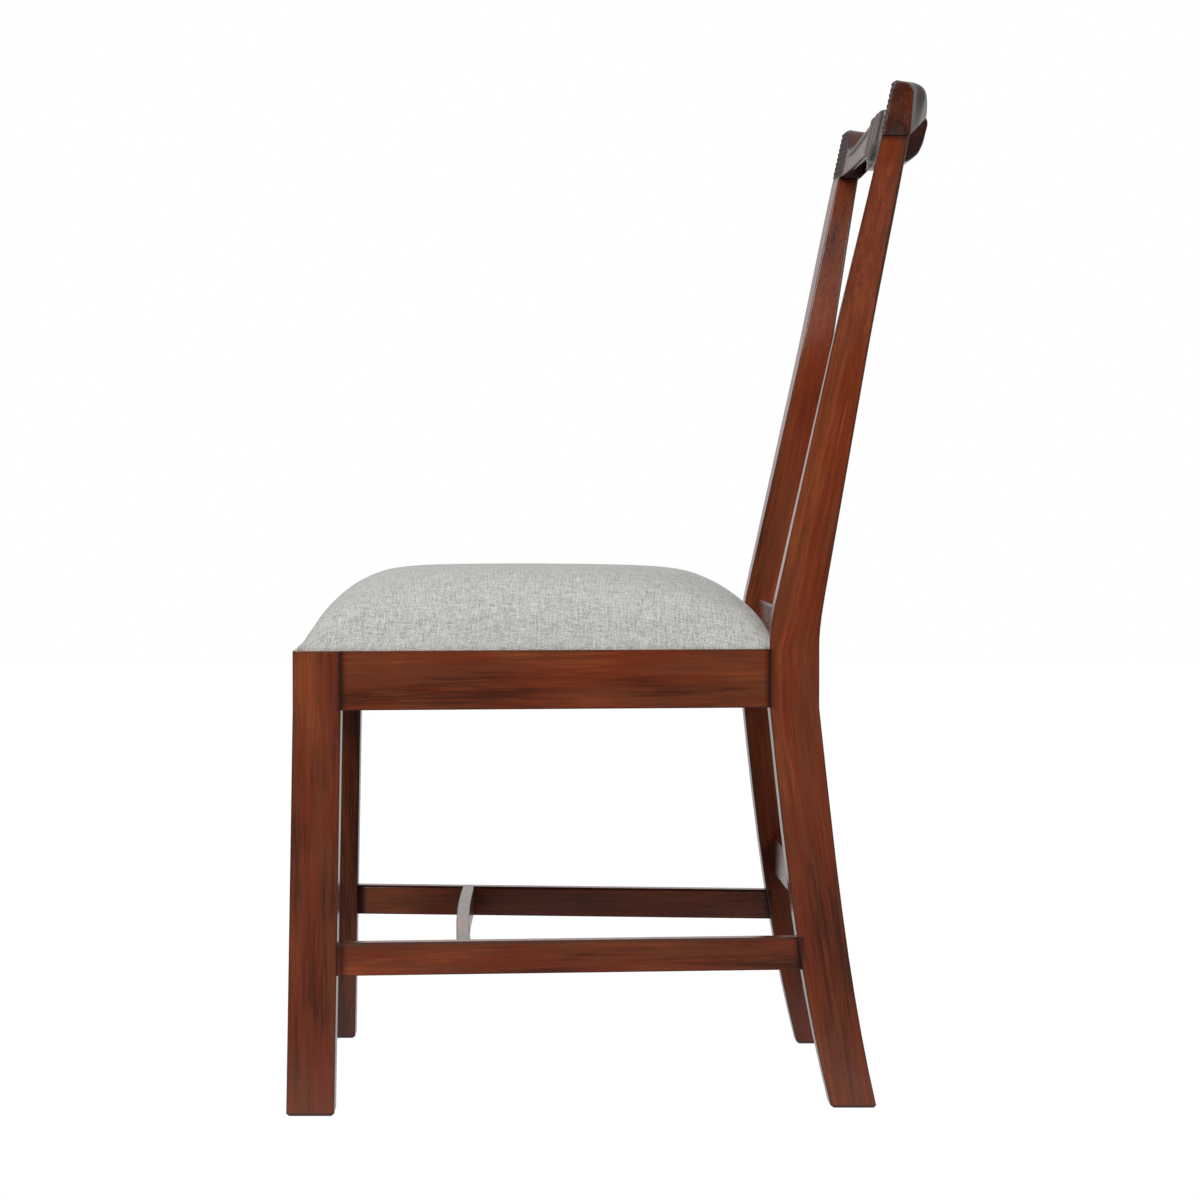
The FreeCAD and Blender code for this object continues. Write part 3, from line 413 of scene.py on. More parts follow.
RAIL_BOTTOM, RAIL_TOP = (corner.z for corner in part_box("side_rail_left"))
RAIL_LEVEL = (RAIL_BOTTOM, RAIL_TOP)
STRETCHER_LEVEL = tuple(corner.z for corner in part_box("side_stretcher_left"))
FRONT_LEG_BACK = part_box("front_leg_left")[1].y
REAR_LEG_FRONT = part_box("rear_leg_left")[0].y
STRETCHER_BACK = REAR_LEG_FRONT + STRETCHER_SET_BACK
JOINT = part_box("rear_leg_left")[1].z - TENON

rail_joints = [("Y", FRONT_LEG_BACK, *RAIL_LEVEL), ("Y", REAR_LEG_FRONT, *RAIL_LEVEL)]
stretcher_joints = [("Y", FRONT_LEG_BACK, *STRETCHER_LEVEL), ("Y", STRETCHER_BACK, *STRETCHER_LEVEL)]
front_leg_joints = [("Y", FRONT_LEG_BACK, *level) for level in (RAIL_LEVEL, STRETCHER_LEVEL)]
rear_leg_joints = [("Y", REAR_LEG_FRONT, *RAIL_LEVEL), ("Y", STRETCHER_BACK, *STRETCHER_LEVEL),
                   ("Z", JOINT, RAIL_TOP, JOINT)]


def dress(node, material):
    """Give a frame piece its material."""
    mesh = NODES[node].data
    mesh.materials.clear()
    mesh.materials.append(material)


def dress_wood(node, grain, seed, depth=0.0, **more):
    """Give a frame piece mahogany of its own."""
    dress(node, mahogany("wood_" + node, grain, seed, depth, **more))


for far, side in enumerate(("left", "right")):
    turn = -SIDE_SLANT if far else SIDE_SLANT
    dress_wood("front_leg_" + side, "Z", 1 + far, FAR_LEG_PAINTED_SHADE * far, joints=front_leg_joints)
    dress_wood("rear_leg_" + side, "Z", 3 + far, rake=POST_RAKE, kick=LEG_KICK, joints=rear_leg_joints)
    dress_wood("side_rail_" + side, "Y", 5 + far, RAIL_DEPTH, slant=turn, joints=rail_joints)
    dress_wood("side_stretcher_" + side, "Y", 7 + far, FAR_STRETCHER_PAINTED_LIGHT * far, slant=turn,
               joints=stretcher_joints)
for number, node in enumerate(CROSS_PIECES):
    dress_wood(node, "X", 9 + number, CROSS_DEPTH)
dress_wood("splat", "Z", 15, rake=POST_RAKE)
print("mahogany finishes", len([material for material in bpy.data.materials if "wood_" in material.name]))

# %% [markdown]
# Curves that run through a few chosen points come up again and again: the top edge of the top
# rail, its lower edge, the crown of the seat. One helper carries a smooth curve through such
# points, and a second gives a smooth rise between two places.

# %% Smooth curves
def through(points, at):
    """Height of a smooth curve through (place, height) points, at an array of places.

    Between two points the curve is the cubic that has their heights and slopes. The slope at a
    point is that of the parabola through it and its two neighbours, and at either end that of
    the line to the next point.
    """
    place, height = np.array(points, float).T
    slope = np.gradient(height, place)
    i = np.clip(np.searchsorted(place, at, "right") - 1, 0, len(place) - 2)
    span = place[i + 1] - place[i]
    t = np.clip((at - place[i]) / span, 0, 1)
    start = (1 + 2 * t) * (1 - t) ** 2 * height[i] + t * (1 - t) ** 2 * span * slope[i]
    end = t * t * (3 - 2 * t) * height[i + 1] + t * t * (t - 1) * span * slope[i + 1]
    return start + end


def smooth(value, low, high):
    """0 below low, 1 above high and t * t * (3 - 2 t) between."""
    t = np.clip((value - low) / (high - low), 0, 1)
    return t * t * (3 - 2 * t)

# %% [markdown]
# The top rail is one carved board. From the front it dips before each post and rises to an ear
# over it; from above it is bowed back. Its front carries a bead under the top edge and a leaf in
# the middle, and its lower edge is thin in front and slopes up behind. It could be a box carved
# with boolean cuts, but these leave ragged faces. All of it is a section that changes along X,
# so the whole rail is one grid instead: across it go the front, top, back and underside in turn,
# and along it go the sections. This cell has the rail's main lines.

# %% Lines of the top rail
crest_low, crest_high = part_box("crest_rail")
CREST_HALF = crest_high.x
CREST_FRONT = crest_low.y
POST_WIDTH = 36.2 * MM
POST_THICK = 26.0 * MM
POST_INSIDE = CREST_HALF - POST_WIDTH
FRONT_BOW = 15.0 * MM
BACK_BOW = 32.0 * MM
BACK_BOW_POWER = 3.5
EAR_LEAN = 5.0 * MM
EAR_LEAN_RISE = (CREST_HALF - 24.0 * MM, CREST_HALF - 8.0 * MM)

# Heights above the joint in millimetres at places across the chair, from the middle out
TOP_EDGE = ((0, 46.5), (26, 46), (52, 44.5), (78, 42), (104, 38.8), (130, 35), (156, 31), (180, 28),
            (196, 27.6), (208, 32), (218, 42), (229, 50), (241, 52.5), (252, 51.8), (260, 50))
LOWER_EDGE = ((0, -5.5), (14, -3.5), (30, 4.5), (46, 9.2), (70, 10.5), (100, 9.5), (157, 5), (195, 2.2),
              (222, 0.3), (260, 0))


def ear_lean(x):
    """How far the back of an ear leans forward at its top, at distances x from the middle."""
    return EAR_LEAN * smooth(np.abs(x), *EAR_LEAN_RISE)


def crest_lines(x):
    """Front, back, top and lower edge of the rail at distances x from the middle, in metres.

    Front and back are distances behind the raked front line of the posts: the front bows back
    with the square of x, and the back with a higher power, so it is full until near the posts.
    """
    share = np.abs(x) / CREST_HALF
    front = FRONT_BOW * (1 - share ** 2)
    back = POST_THICK - ear_lean(x) + BACK_BOW * (1 - share ** BACK_BOW_POWER)
    top = through(TOP_EDGE, np.abs(x) / MM) * MM
    lower = through(LOWER_EDGE, np.abs(x) / MM) * MM
    return front, back, top, lower

# %% [markdown]
# The carving is low relief, a few millimetres high, and its hollows are coloured darker as painted
# shade. It could be sculpted, but each ornament here repeats, so sine waves make it: half a wave is
# one lobe of the leaf, one flute on it, or one scale on an ear. Each kind fades in and out at its
# own place along the rail.

# %% Carving on the top rail
BEAD_DOWN = 3.2 * MM
BEAD_HALF = 3.0 * MM
BEAD_HEIGHT = 1.7 * MM
GROOVE_DOWN = 7.2 * MM
GROOVE_HALF = 1.1 * MM
GROOVE_DEPTH = 0.8 * MM
LEAF_LOBE = 38.0 * MM
LEAF_HEIGHT = 4.2 * MM
FLUTES_IN_LOBE = 6
FLUTE_HEIGHT = 0.5 * MM
SCALE_PITCH = 5.0 * MM
SCALE_HEIGHT = 1.6 * MM

# Where the carving starts and stops, across the rail, up its face and below its top edge
BEAD_STARTS = (58.0 * MM, 70.0 * MM)
BEAD_STOPS = (190.0 * MM, 202.0 * MM)
LEAF_STOPS = (54.0 * MM, 64.0 * MM)
LEAF_FOOT = (-8.0 * MM, 2.0 * MM)
SCALES_START = (205.0 * MM, 216.0 * MM)
SCALES_STOP = (256.0 * MM, 258.0 * MM)
SCALES_FOOT = (0.0, 4.0 * MM)
SCALES_TOP = (0.5 * MM, 3.0 * MM)


def crest_relief(x, height, top):
    """How far the carving stands out of the front face, in metres, and the painted shade of its hollows.

    A half-round bead follows the top edge from the ears to the leaf. The leaf is three upright
    lobes, each the square root of a sine wave's half, with narrow flutes on them. On the ears
    small leaves overlap in rows like scales. Hollows count from 0, on the plain wood, to 1.
    """
    away = np.abs(x)
    under = top - height
    bead = BEAD_HEIGHT * np.sqrt(np.clip(1 - ((under - BEAD_DOWN) / BEAD_HALF) ** 2, 0, 1))
    groove = np.exp(-((under - GROOVE_DOWN) / GROOVE_HALF) ** 2)
    plain = smooth(away, *BEAD_STARTS) * (1 - smooth(away, *BEAD_STOPS))
    lobe = np.abs(np.sin(math.pi * (away / LEAF_LOBE + 0.5))) ** 0.5
    flute = np.abs(np.sin(math.pi * away / LEAF_LOBE * FLUTES_IN_LOBE))
    in_leaf = (1 - smooth(away, *LEAF_STOPS)) * smooth(height, *LEAF_FOOT)
    row = np.floor(height / SCALE_PITCH)
    across = (away - CREST_HALF) / SCALE_PITCH + 0.5 * (row % 2)
    scale = np.abs(np.sin(math.pi * across)) * np.abs(np.sin(math.pi * height / SCALE_PITCH)) ** 0.5
    on_ear = smooth(away, *SCALES_START) * (1 - smooth(away, *SCALES_STOP))
    on_ear = on_ear * smooth(height, *SCALES_FOOT) * smooth(under, *SCALES_TOP)
    out = (bead - GROOVE_DEPTH * groove) * plain + SCALE_HEIGHT * scale * on_ear
    out = out + (LEAF_HEIGHT * lobe + FLUTE_HEIGHT * flute) * in_leaf
    # Painted shade: the groove and the hollows between lobes and scales are made darker.
    painted_carving_shade = 0.6 * groove * plain + (1 - 0.75 * lobe) * in_leaf + (1 - 0.45 * scale) * on_ear
    return out, np.clip(painted_carving_shade, 0, 1)

# %% [markdown]
# The top of the rail falls a little towards the back and turns down in a quarter circle. The
# underside is thin at the front lip and rises behind it, except over the posts and at the block
# in the middle, where tenons enter it. Where that slope would come up through the top, the top
# stops short of it.

# %% Top and underside of the rail
TOP_FALL = 0.13
TOP_BACK_ROUND = 10.5 * MM
LEAST_BACK = 3.0 * MM
LIP_THICK = 4.0 * MM
LIP_SLOPE = 0.95
BEVEL_RUN = 0.7815
RIB_START = POST_THICK - 1.5 * MM
RIB_SPREAD = 5.0
RIB_ROUND = 4.0 * MM
POST_STEP = 0.6 * MM
BLOCK_HALF = 70.0 * MM
BLOCK_RISE = (BLOCK_HALF - 8.0 * MM, BLOCK_HALF + 6.0 * MM)
BACK_TRIALS = 300

# Height of the middle block's underside at places behind the posts' front line, in millimetres
BLOCK_SECTION = ((0, -5.5), (30, -6), (48, -6.2), (52, -3), (56, 3), (58.5, 13), (62, 30))


def top_surface(behind, front, back, top):
    """Height of the rail's top at a distance behind the posts' front line.

    It falls steadily towards the back and then turns down in a quarter circle.
    """
    fall = np.clip(behind - (back - TOP_BACK_ROUND), 0, TOP_BACK_ROUND)
    return top - TOP_FALL * (behind - front) - (TOP_BACK_ROUND - np.sqrt(TOP_BACK_ROUND ** 2 - fall ** 2))


def bevel(behind):
    """Height of the slope behind the posts: 0 over them, then a straight rise."""
    return np.clip((behind - POST_THICK) / BEVEL_RUN, 0, None)


def underside(x, behind, front, lower):
    """Height of the rail's underside at x and a distance behind the posts' front line.

    Between the posts it rises at about 45 degrees behind a thin front lip. Behind the line of
    the posts it follows a rib that springs from them. In the middle it stays low and level,
    where the rail holds the splat, and over the posts it is level with the joint.
    """
    lip = lower + np.clip(behind - front - LIP_THICK, 0, None) * LIP_SLOPE
    wall = RIB_START + (POST_INSIDE - np.abs(x)) / RIB_SPREAD
    rib = smooth(behind, wall, wall + RIB_ROUND)
    open_part = lip * (1 - rib) + np.minimum(lip, bevel(behind)) * rib
    block = through(BLOCK_SECTION, behind / MM) * MM
    clear = smooth(np.abs(x), *BLOCK_RISE)
    between = block * (1 - clear) + open_part * clear
    end = smooth(np.abs(x), POST_INSIDE - POST_STEP, POST_INSIDE + POST_STEP)
    return between * (1 - end) + bevel(behind) * end


def back_edge(x, front, back, top):
    """How far back the top reaches at each x.

    That is the back face, or the place where the slope behind the posts comes within LEAST_BACK
    of the top. The place is found among many trial places and then between two of them.
    """
    behind = front + (back - front) * np.linspace(0, 1, BACK_TRIALS)[None]
    slope = (behind - POST_THICK) / BEVEL_RUN * smooth(np.abs(x), *BLOCK_RISE)
    room = top_surface(behind, front, back, top) - slope - LEAST_BACK
    last = room.shape[1] - 1 - np.argmax(room[:, ::-1] > 0, axis=1)
    after = np.minimum(last + 1, room.shape[1] - 1)
    row = np.arange(len(last))
    part = np.clip(room[row, last] / np.maximum(room[row, last] - room[row, after], 1e-9), 0, 1)
    return (behind[row, last] + (behind[row, after] - behind[row, last]) * part)[:, None]

# %% [markdown]
# Now the lines, the carving and the two surfaces meet in one section. Its points are computed for
# every place along the rail at once, as rows of an array, and each stretch of the section adds
# its own columns.

# %% Sections of the top rail
FRONT_STEPS = 54
TOP_STEPS = 34
BACK_STEPS = 26
UNDER_STEPS = 40
TOP_FRONT_ROUND = 3.2 * MM
LIP_ROUND = 2.5 * MM
RELIEF_FOOT = 3.0 * MM
# Painted shade: the whole front face is coloured a little darker, the carving's hollows more.
FRONT_PAINTED_SHADE = 0.15


def crest_sections(x):
    """The rail's surface as a grid of points, and the painted shade of each point in the carving.

    At each x a section runs up the front, back over the top, down the back and forward along
    the underside. The front's two edges turn in quarter circles.
    """
    x = x[:, None]
    front, back, top, lower = crest_lines(x)
    height = lower + (top - lower) * np.linspace(0, 1, FRONT_STEPS)[None]
    up = np.clip(TOP_FRONT_ROUND - (top - height), 0, TOP_FRONT_ROUND)
    down = np.clip(LIP_ROUND - (height - lower), 0, LIP_ROUND)
    turned = TOP_FRONT_ROUND - np.sqrt(TOP_FRONT_ROUND ** 2 - up ** 2)
    turned = turned + (LIP_ROUND - np.sqrt(LIP_ROUND ** 2 - down ** 2)) * (np.abs(x) < POST_INSIDE)
    relief, painted_carving_shade = crest_relief(x, height, top)
    fade = smooth(height - lower, 0, RELIEF_FOOT)
    rows_behind = [front + turned - relief * fade]
    rows_height = [height]

    edge = back_edge(x, front, back, top)
    across = np.sin(np.linspace(0, math.pi / 2, TOP_STEPS + 1))[None, 1:]
    behind = front + TOP_FRONT_ROUND + (edge - front - TOP_FRONT_ROUND) * across
    rows_behind.append(behind)
    rows_height.append(top_surface(behind, front, back, top))

    shoulder = rows_height[-1][:, -1:]
    foot_behind = edge + ear_lean(x)
    foot = np.minimum(underside(x, foot_behind, front, lower), shoulder - LEAST_BACK)
    drop = np.linspace(0, 1, BACK_STEPS + 1)[None, 1:]
    rows_behind.append(edge + (foot_behind - edge) * drop)
    rows_height.append(shoulder + (foot - shoulder) * drop)

    run = np.linspace(0, 1, UNDER_STEPS + 1)[None, 1:-1]
    behind = foot_behind + (front + LIP_ROUND - foot_behind) * run
    ceiling = top_surface(behind, front, back, top) - LEAST_BACK
    rows_behind.append(behind)
    rows_height.append(np.minimum(underside(x, behind, front, lower), ceiling))

    behind = np.concatenate(rows_behind, axis=1)
    height = np.concatenate(rows_height, axis=1)
    dark = np.zeros(height.shape)
    dark[:, :FRONT_STEPS] = np.maximum(painted_carving_shade, FRONT_PAINTED_SHADE) * fade
    depth = CREST_FRONT + POST_RAKE * height + behind
    return np.stack([np.broadcast_to(x, height.shape), depth, JOINT + height], axis=-1), dark

# %% [markdown]
# The rail's two ends turn in with a small radius: the last section is drawn in a little further
# on each of four more rings. The grid then becomes a closed tube with a flat face at each end,
# and stands in the chair in place of the frame's plain rail.

# %% Put the top rail together
END_ROUND = 2.2 * MM
END_RINGS = 4
SECTION_PITCH = 1.0 * MM
FINE_PLACES = np.array([-0.7, -0.35, 0.0, 0.35, 0.7]) * MM
KEPT_LEVEL = JOINT + 0.5 * MM
TOP_RAIL_DEPTH = 0.40


def drawn_in(ring, inset):
    """A closed ring of points moved inwards in its own plane, its lowest points kept level."""
    ahead = np.roll(ring, -1, axis=0) - np.roll(ring, 1, axis=0)
    inward = np.stack([0 * ahead[:, 0], -ahead[:, 2], ahead[:, 1]], axis=-1)
    inward /= np.maximum(np.linalg.norm(inward, axis=1, keepdims=True), 1e-9)
    moved = ring - inward * inset
    moved[:, 2] = np.where(ring[:, 2] < KEPT_LEVEL, ring[:, 2], moved[:, 2])
    return moved


def rounded_end(ring, side):
    """The rings of a quarter circle of END_ROUND, from a section out to the rail's end."""
    rings = []
    for turn in np.linspace(0, math.pi / 2, END_RINGS + 1)[1:]:
        moved = drawn_in(ring, END_ROUND * (1 - math.cos(turn)))
        moved[:, 0] = side * (CREST_HALF - END_ROUND * (1 - math.sin(turn)))
        rings.append(moved)
    return np.array(rings)


def tube_mesh(name, points):
    """A closed mesh over a grid of points: rings joined in turn, with a flat face at each end."""
    rows, around = points.shape[:2]
    index = np.arange(rows * around).reshape(rows, around)
    ahead = np.roll(index, -1, axis=1)
    quads = np.stack([index[:-1], index[1:], ahead[1:], ahead[:-1]], axis=-1).reshape(-1, 4)
    faces = [tuple(face) for face in quads.tolist()]
    faces.append(tuple(index[0].tolist()))
    faces.append(tuple(index[-1][::-1].tolist()))
    mesh = bpy.data.meshes.new(name)
    mesh.from_pydata(points.reshape(-1, 3).tolist(), [], faces)
    mesh.validate()
    return mesh


def place_piece(name, mesh, material, replaced):
    """Show a new piece in the chair, in place of the frame pieces that it stands for."""
    piece = bpy.data.objects.new(name, mesh)
    bpy.context.scene.collection.objects.link(piece)
    mesh.materials.append(material)
    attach(piece, "root")
    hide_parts(*replaced)
    return piece


END_PLACE = CREST_HALF - END_ROUND
places = np.concatenate([np.arange(0, END_PLACE, SECTION_PITCH), POST_INSIDE + FINE_PLACES, [END_PLACE]])
half_x = np.unique(places.round(6))
grid, dark = crest_sections(np.concatenate([-half_x[:0:-1], half_x]))
grid = np.concatenate([rounded_end(grid[0], -1)[::-1], grid, rounded_end(grid[-1], 1)])
dark = np.concatenate([dark[:1].repeat(END_RINGS, 0), dark, dark[-1:].repeat(END_RINGS, 0)])
crest_mesh = tube_mesh("top_rail", grid)
crest_mesh.attributes.new("painted_carving_shade", "FLOAT", "POINT").data.foreach_set("value", dark.ravel())
crest_mesh.shade_smooth()
crest_wood = mahogany("wood_top_rail", "X", 21, TOP_RAIL_DEPTH, carved="painted_carving_shade")
place_piece("top_rail", crest_mesh, crest_wood, ["crest_rail"])
print("top rail points", grid.shape)

# %% [markdown]
# The seat is foam under a woven cover, pulled down over a board. Seen from above its outline is a
# rounded trapezium. A rounded box would have one radius all round, but the real crown is steep at
# its foot and nearly level on top. So its height at a point follows from how far the point is
# from the edges: the two distances, to the nearer side and to the front or back, are joined like
# two springs in a row, and the crown falls away more at the corners than in the middle of a side.

# %% Shape of the seat
seat_low, seat_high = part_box("seat_cover")
SEAT_FRONT = seat_low.y
SEAT_BACK = seat_high.y
SEAT_MIDDLE = (SEAT_FRONT + SEAT_BACK) / 2
SEAT_TAPER = 0.1066
SEAT_CORNER = 14.0 * MM
SEAT_HALF_FRONT = seat_high.x + SEAT_TAPER * SEAT_CORNER
SWELLING = 1.4 * MM
CROWN = seat_high.z - RAIL_TOP - SWELLING
BACK_SOFTER = 0.90
JOIN_POWER = 1.12
MIDDLE_POWER = 3.0
EDGE_POWER = 48.0

# Height of the crown as a share of the whole, at joined distances from the edges in millimetres
CROWN_PROFILE = ((0, 0.0), (1.5, 0.055), (5, 0.185), (11, 0.374), (20, 0.555), (32, 0.72), (48, 0.866),
                 (68, 0.952), (92, 0.972), (125, 0.982))


def seat_half(y):
    """Half the seat's width at a place from front to back, if its corners were sharp."""
    return SEAT_HALF_FRONT - SEAT_TAPER * (y - SEAT_FRONT)


def crown_height(x, y):
    """Height of the crown over the rails, from the joined distance from the edges.

    That is 1 / a to the power k plus 1 / b to the power k, and the sum to the power -1 / k, with
    JOIN_POWER as k. a is the distance to the nearer of the front and back edges, counted shorter
    at the back, and b the distance to the nearer side.
    """
    a = np.maximum(np.minimum(y - SEAT_FRONT, (SEAT_BACK - y) * BACK_SOFTER), 0) + 1e-7
    b = np.maximum(seat_half(y) - np.abs(x), 0) + 1e-7
    joined = (a ** -JOIN_POWER + b ** -JOIN_POWER) ** (-1 / JOIN_POWER)
    return CROWN * through(CROWN_PROFILE, np.minimum(joined / MM, CROWN_PROFILE[-1][0]))


def seat_plan(p, q):
    """Where a point of the square from -1 to 1 lands in plan.

    Squares about the middle become curves where |u| to the power k plus |v| to the power k is
    constant: k is large at the edge, where the outline is nearly square, and small inside.
    """
    reach = np.maximum(np.maximum(np.abs(p), np.abs(q)), 1e-6)
    u, v = p / reach, q / reach
    power = MIDDLE_POWER + (EDGE_POWER - MIDDLE_POWER) * reach ** 4
    norm = np.maximum((np.abs(u) ** power + np.abs(v) ** power) ** (1 / power), 1e-6)
    y = SEAT_MIDDLE + reach * v / norm * (SEAT_BACK - SEAT_FRONT) / 2
    return reach * u / norm * seat_half(y), y

# %% [markdown]
# The cushion's mesh is two grids of the same plan, the crown and the flat underside, joined round
# their rims. Grid lines crowd towards the edge, where the crown turns down. The foot stands a
# little above the rails, and in front it spreads out a little, as the photo shows.

# %% Mesh of the seat
SEAT_CELLS = 88
CROWDING = math.pi / 2 * 0.8
FOOT_RISE = 2.2 * MM
FOOT_SPREAD = 4.5 * MM
SPREAD_HEIGHT = 2.5 * MM
SPREAD_FROM = 0.9


def closed_pillow(top, bottom):
    """Vertices and faces of a closed form from two grids of the same size, joined at their rims."""
    rows, columns = top.shape[:2]
    upper = np.arange(rows * columns).reshape(rows, columns)
    cells = np.stack([upper[:-1, :-1], upper[:-1, 1:], upper[1:, 1:], upper[1:, :-1]], axis=-1)
    cells = cells.reshape(-1, 4)
    rim = np.concatenate([upper[0, :-1], upper[:-1, -1], upper[-1, :0:-1], upper[:0:-1, 0]])
    ahead = np.roll(rim, -1)
    wall = np.stack([rim, rim + rows * columns, ahead + rows * columns, ahead], axis=-1)
    under = cells[:, ::-1] + rows * columns
    return np.concatenate([top.reshape(-1, 3), bottom.reshape(-1, 3)]), np.concatenate([cells, wall, under])


line = np.sin(np.linspace(-1, 1, SEAT_CELLS + 1) * CROWDING) / math.sin(CROWDING)
p, q = np.meshgrid(line, line)
plan_x, plan_y = seat_plan(p, q)
crown_z = crown_height(plan_x, plan_y)
spread = FOOT_SPREAD * np.exp(-crown_z / SPREAD_HEIGHT) * (q < -SPREAD_FROM) * np.clip(-q, 0, 1) ** 4
top_grid = np.stack([plan_x, plan_y - spread, RAIL_TOP + np.maximum(crown_z, FOOT_RISE)], axis=-1)
bottom_grid = np.stack([plan_x, plan_y, seat_low.z + 0 * crown_z], axis=-1)
crown, crown_faces = closed_pillow(top_grid, bottom_grid)
on_rim = (np.maximum(np.abs(p), np.abs(q)) > 1 - 1e-6).ravel()
seat_mesh = bpy.data.meshes.new("seat_cushion")
seat_mesh.from_pydata(crown.tolist(), [], crown_faces.tolist())
print("seat points", crown.shape, "crown", round(CROWN, 4))

# %% [markdown]
# Foam pushes the cover outwards all over. A short cloth simulation with pressure and no gravity
# does the same to the crown: its foot and its underside are held at the board, twenty frames
# run, and no point may move more than a millimetre and a half, so the seat stays the size that
# it was cut to.

# %% Fill the seat
PRESSURE = 4.0
FRAMES = 20
CLOTH_QUALITY = 5
CLOTH_MASS = 0.3
MOST_MOVE = 1.5 * MM


def inflate(mesh, held_points):
    """Blow up a closed mesh by cloth pressure and return how far each point moved, capped.

    A move of length m keeps its direction and becomes MOST_MOVE * tanh(m / MOST_MOVE) long.
    """
    scene = bpy.context.scene
    cloth_piece = bpy.data.objects.new("cloth_trial", mesh.copy())
    scene.collection.objects.link(cloth_piece)
    group = cloth_piece.vertex_groups.new(name="held")
    group.add(held_points.tolist(), 1.0, "REPLACE")
    cloth = cloth_piece.modifiers.new("cloth", "CLOTH")
    cloth.settings.quality = CLOTH_QUALITY
    cloth.settings.mass = CLOTH_MASS
    cloth.settings.use_pressure = True
    cloth.settings.uniform_pressure_force = PRESSURE
    cloth.settings.vertex_group_mass = "held"
    cloth.settings.effector_weights.gravity = 0.0
    cloth.point_cache.frame_start = 1
    cloth.point_cache.frame_end = FRAMES
    for frame_number in range(1, FRAMES + 1):
        scene.frame_set(frame_number)
    before = np.empty(len(mesh.vertices) * 3)
    after = before.copy()
    mesh.vertices.foreach_get("co", before)
    blown = cloth_piece.evaluated_get(bpy.context.evaluated_depsgraph_get())
    blown.data.vertices.foreach_get("co", after)
    move = (after - before).reshape(-1, 3)
    length = np.maximum(np.linalg.norm(move, axis=1, keepdims=True), 1e-9)
    bpy.data.objects.remove(cloth_piece)
    scene.frame_set(1)
    return move / length * MOST_MOVE * np.tanh(length / MOST_MOVE)


held = np.concatenate([on_rim, np.ones(p.size, bool)])
moved = crown + inflate(seat_mesh, np.flatnonzero(held))
seat_mesh.vertices.foreach_set("co", moved.ravel())
seat_mesh.update()
print("largest move of the cover", round(float(np.abs(moved - crown).max()), 5))

# %% [markdown]
# The cover is a plain weave of slubby yarns: each yarn has its own shade and thickens and thins
# along its length. Whole numbers count the yarns each way, noise over a yarn's number and along
# its length gives its shade, and two sine waves say which yarn lies on top. A picture of cloth
# would blur up close, while sums stay sharp.

# %% Woven cover
YARN = 1.3 * MM
CLOTH_LIGHT = opaque(0.660, 0.665, 0.625)
CLOTH_MIDDLE = opaque(0.430, 0.434, 0.405)
CLOTH_DARK = opaque(0.215, 0.216, 0.200)
CLOTH_STOPS = [(0.1, CLOTH_DARK), (0.5, CLOTH_MIDDLE), (0.9, CLOTH_LIGHT)]
SHADE_WAVES = 95.0
FLECK_WAVES = 620.0
YARN_STEP = 5.31
SLUB_STEP = 2.17
SLUB_DRIFT = 0.11
ON_TOP_RISE = (-0.15, 0.15)
SHADE_CONTRAST = 1.1
SLUB_CONTRAST = 0.5
FLECK_CONTRAST = 0.9
CROSSING_CONTRAST = 0.7
YARN_HEIGHT = 0.25 * MM


def linen(name):
    """Pale grey woven linen over the cloth's own distances.

    Its tone is the top yarn's shade, the slubs both ways, a fine fleck and the size of the
    product of two sine waves, which is 0 in the gaps between yarns.
    """
    finish = Finish(name)
    across, along = finish.axes("UV")[:2]
    warp_number = finish.maths("FLOOR", across / YARN)
    weft_number = finish.maths("FLOOR", along / YARN)
    warp = finish.noise(warp_number * YARN_STEP, along * SHADE_WAVES, 3.1, 3.0, 0.65)
    weft = finish.noise(weft_number * YARN_STEP, across * SHADE_WAVES, 9.7, 3.0, 0.65)
    crossing = (finish.maths("SINE", across * (math.pi / YARN))
                * finish.maths("SINE", along * (math.pi / YARN)))
    shade = weft + finish.step(crossing, *ON_TOP_RISE) * (warp - weft)
    slub = finish.noise(warp_number * SLUB_STEP, weft_number * SLUB_DRIFT, 1.7, 1.0)
    slub_across = finish.noise(weft_number * SLUB_STEP, warp_number * SLUB_DRIFT, 6.3, 1.0)
    fleck = finish.noise(across * FLECK_WAVES, along * FLECK_WAVES, 2.2, 2.0)
    yarn = finish.maths("ABSOLUTE", crossing)
    tone = 0.5 + (shade - 0.5) * SHADE_CONTRAST + (slub - 0.5) * SLUB_CONTRAST
    tone = tone + (slub_across - 0.5) * SLUB_CONTRAST + (fleck - 0.5) * FLECK_CONTRAST
    tone = tone + (yarn - 0.4) * CROSSING_CONTRAST
    relief = finish.bump(yarn + (shade - 0.5) * 1.2, 0.5, YARN_HEIGHT)
    return finish.surface({"Base Color": finish.ramp(tone, CLOTH_STOPS), "Roughness": 0.9, "Normal": relief,
                           "Sheen Weight": 0.15, "Sheen Roughness": 0.5})

# %% [markdown]
# The weave follows two distances over the cloth, across and from front to back, kept in a UV map
# in metres. Each is measured over the crown, not in plan, so the yarns keep their spacing where
# the cloth runs down the sides. The foot's two rims are creased, so that the finer surface which
# one subdivision gives stays sharp there.

# %% Put the cushion together
WALK_STEPS = 48


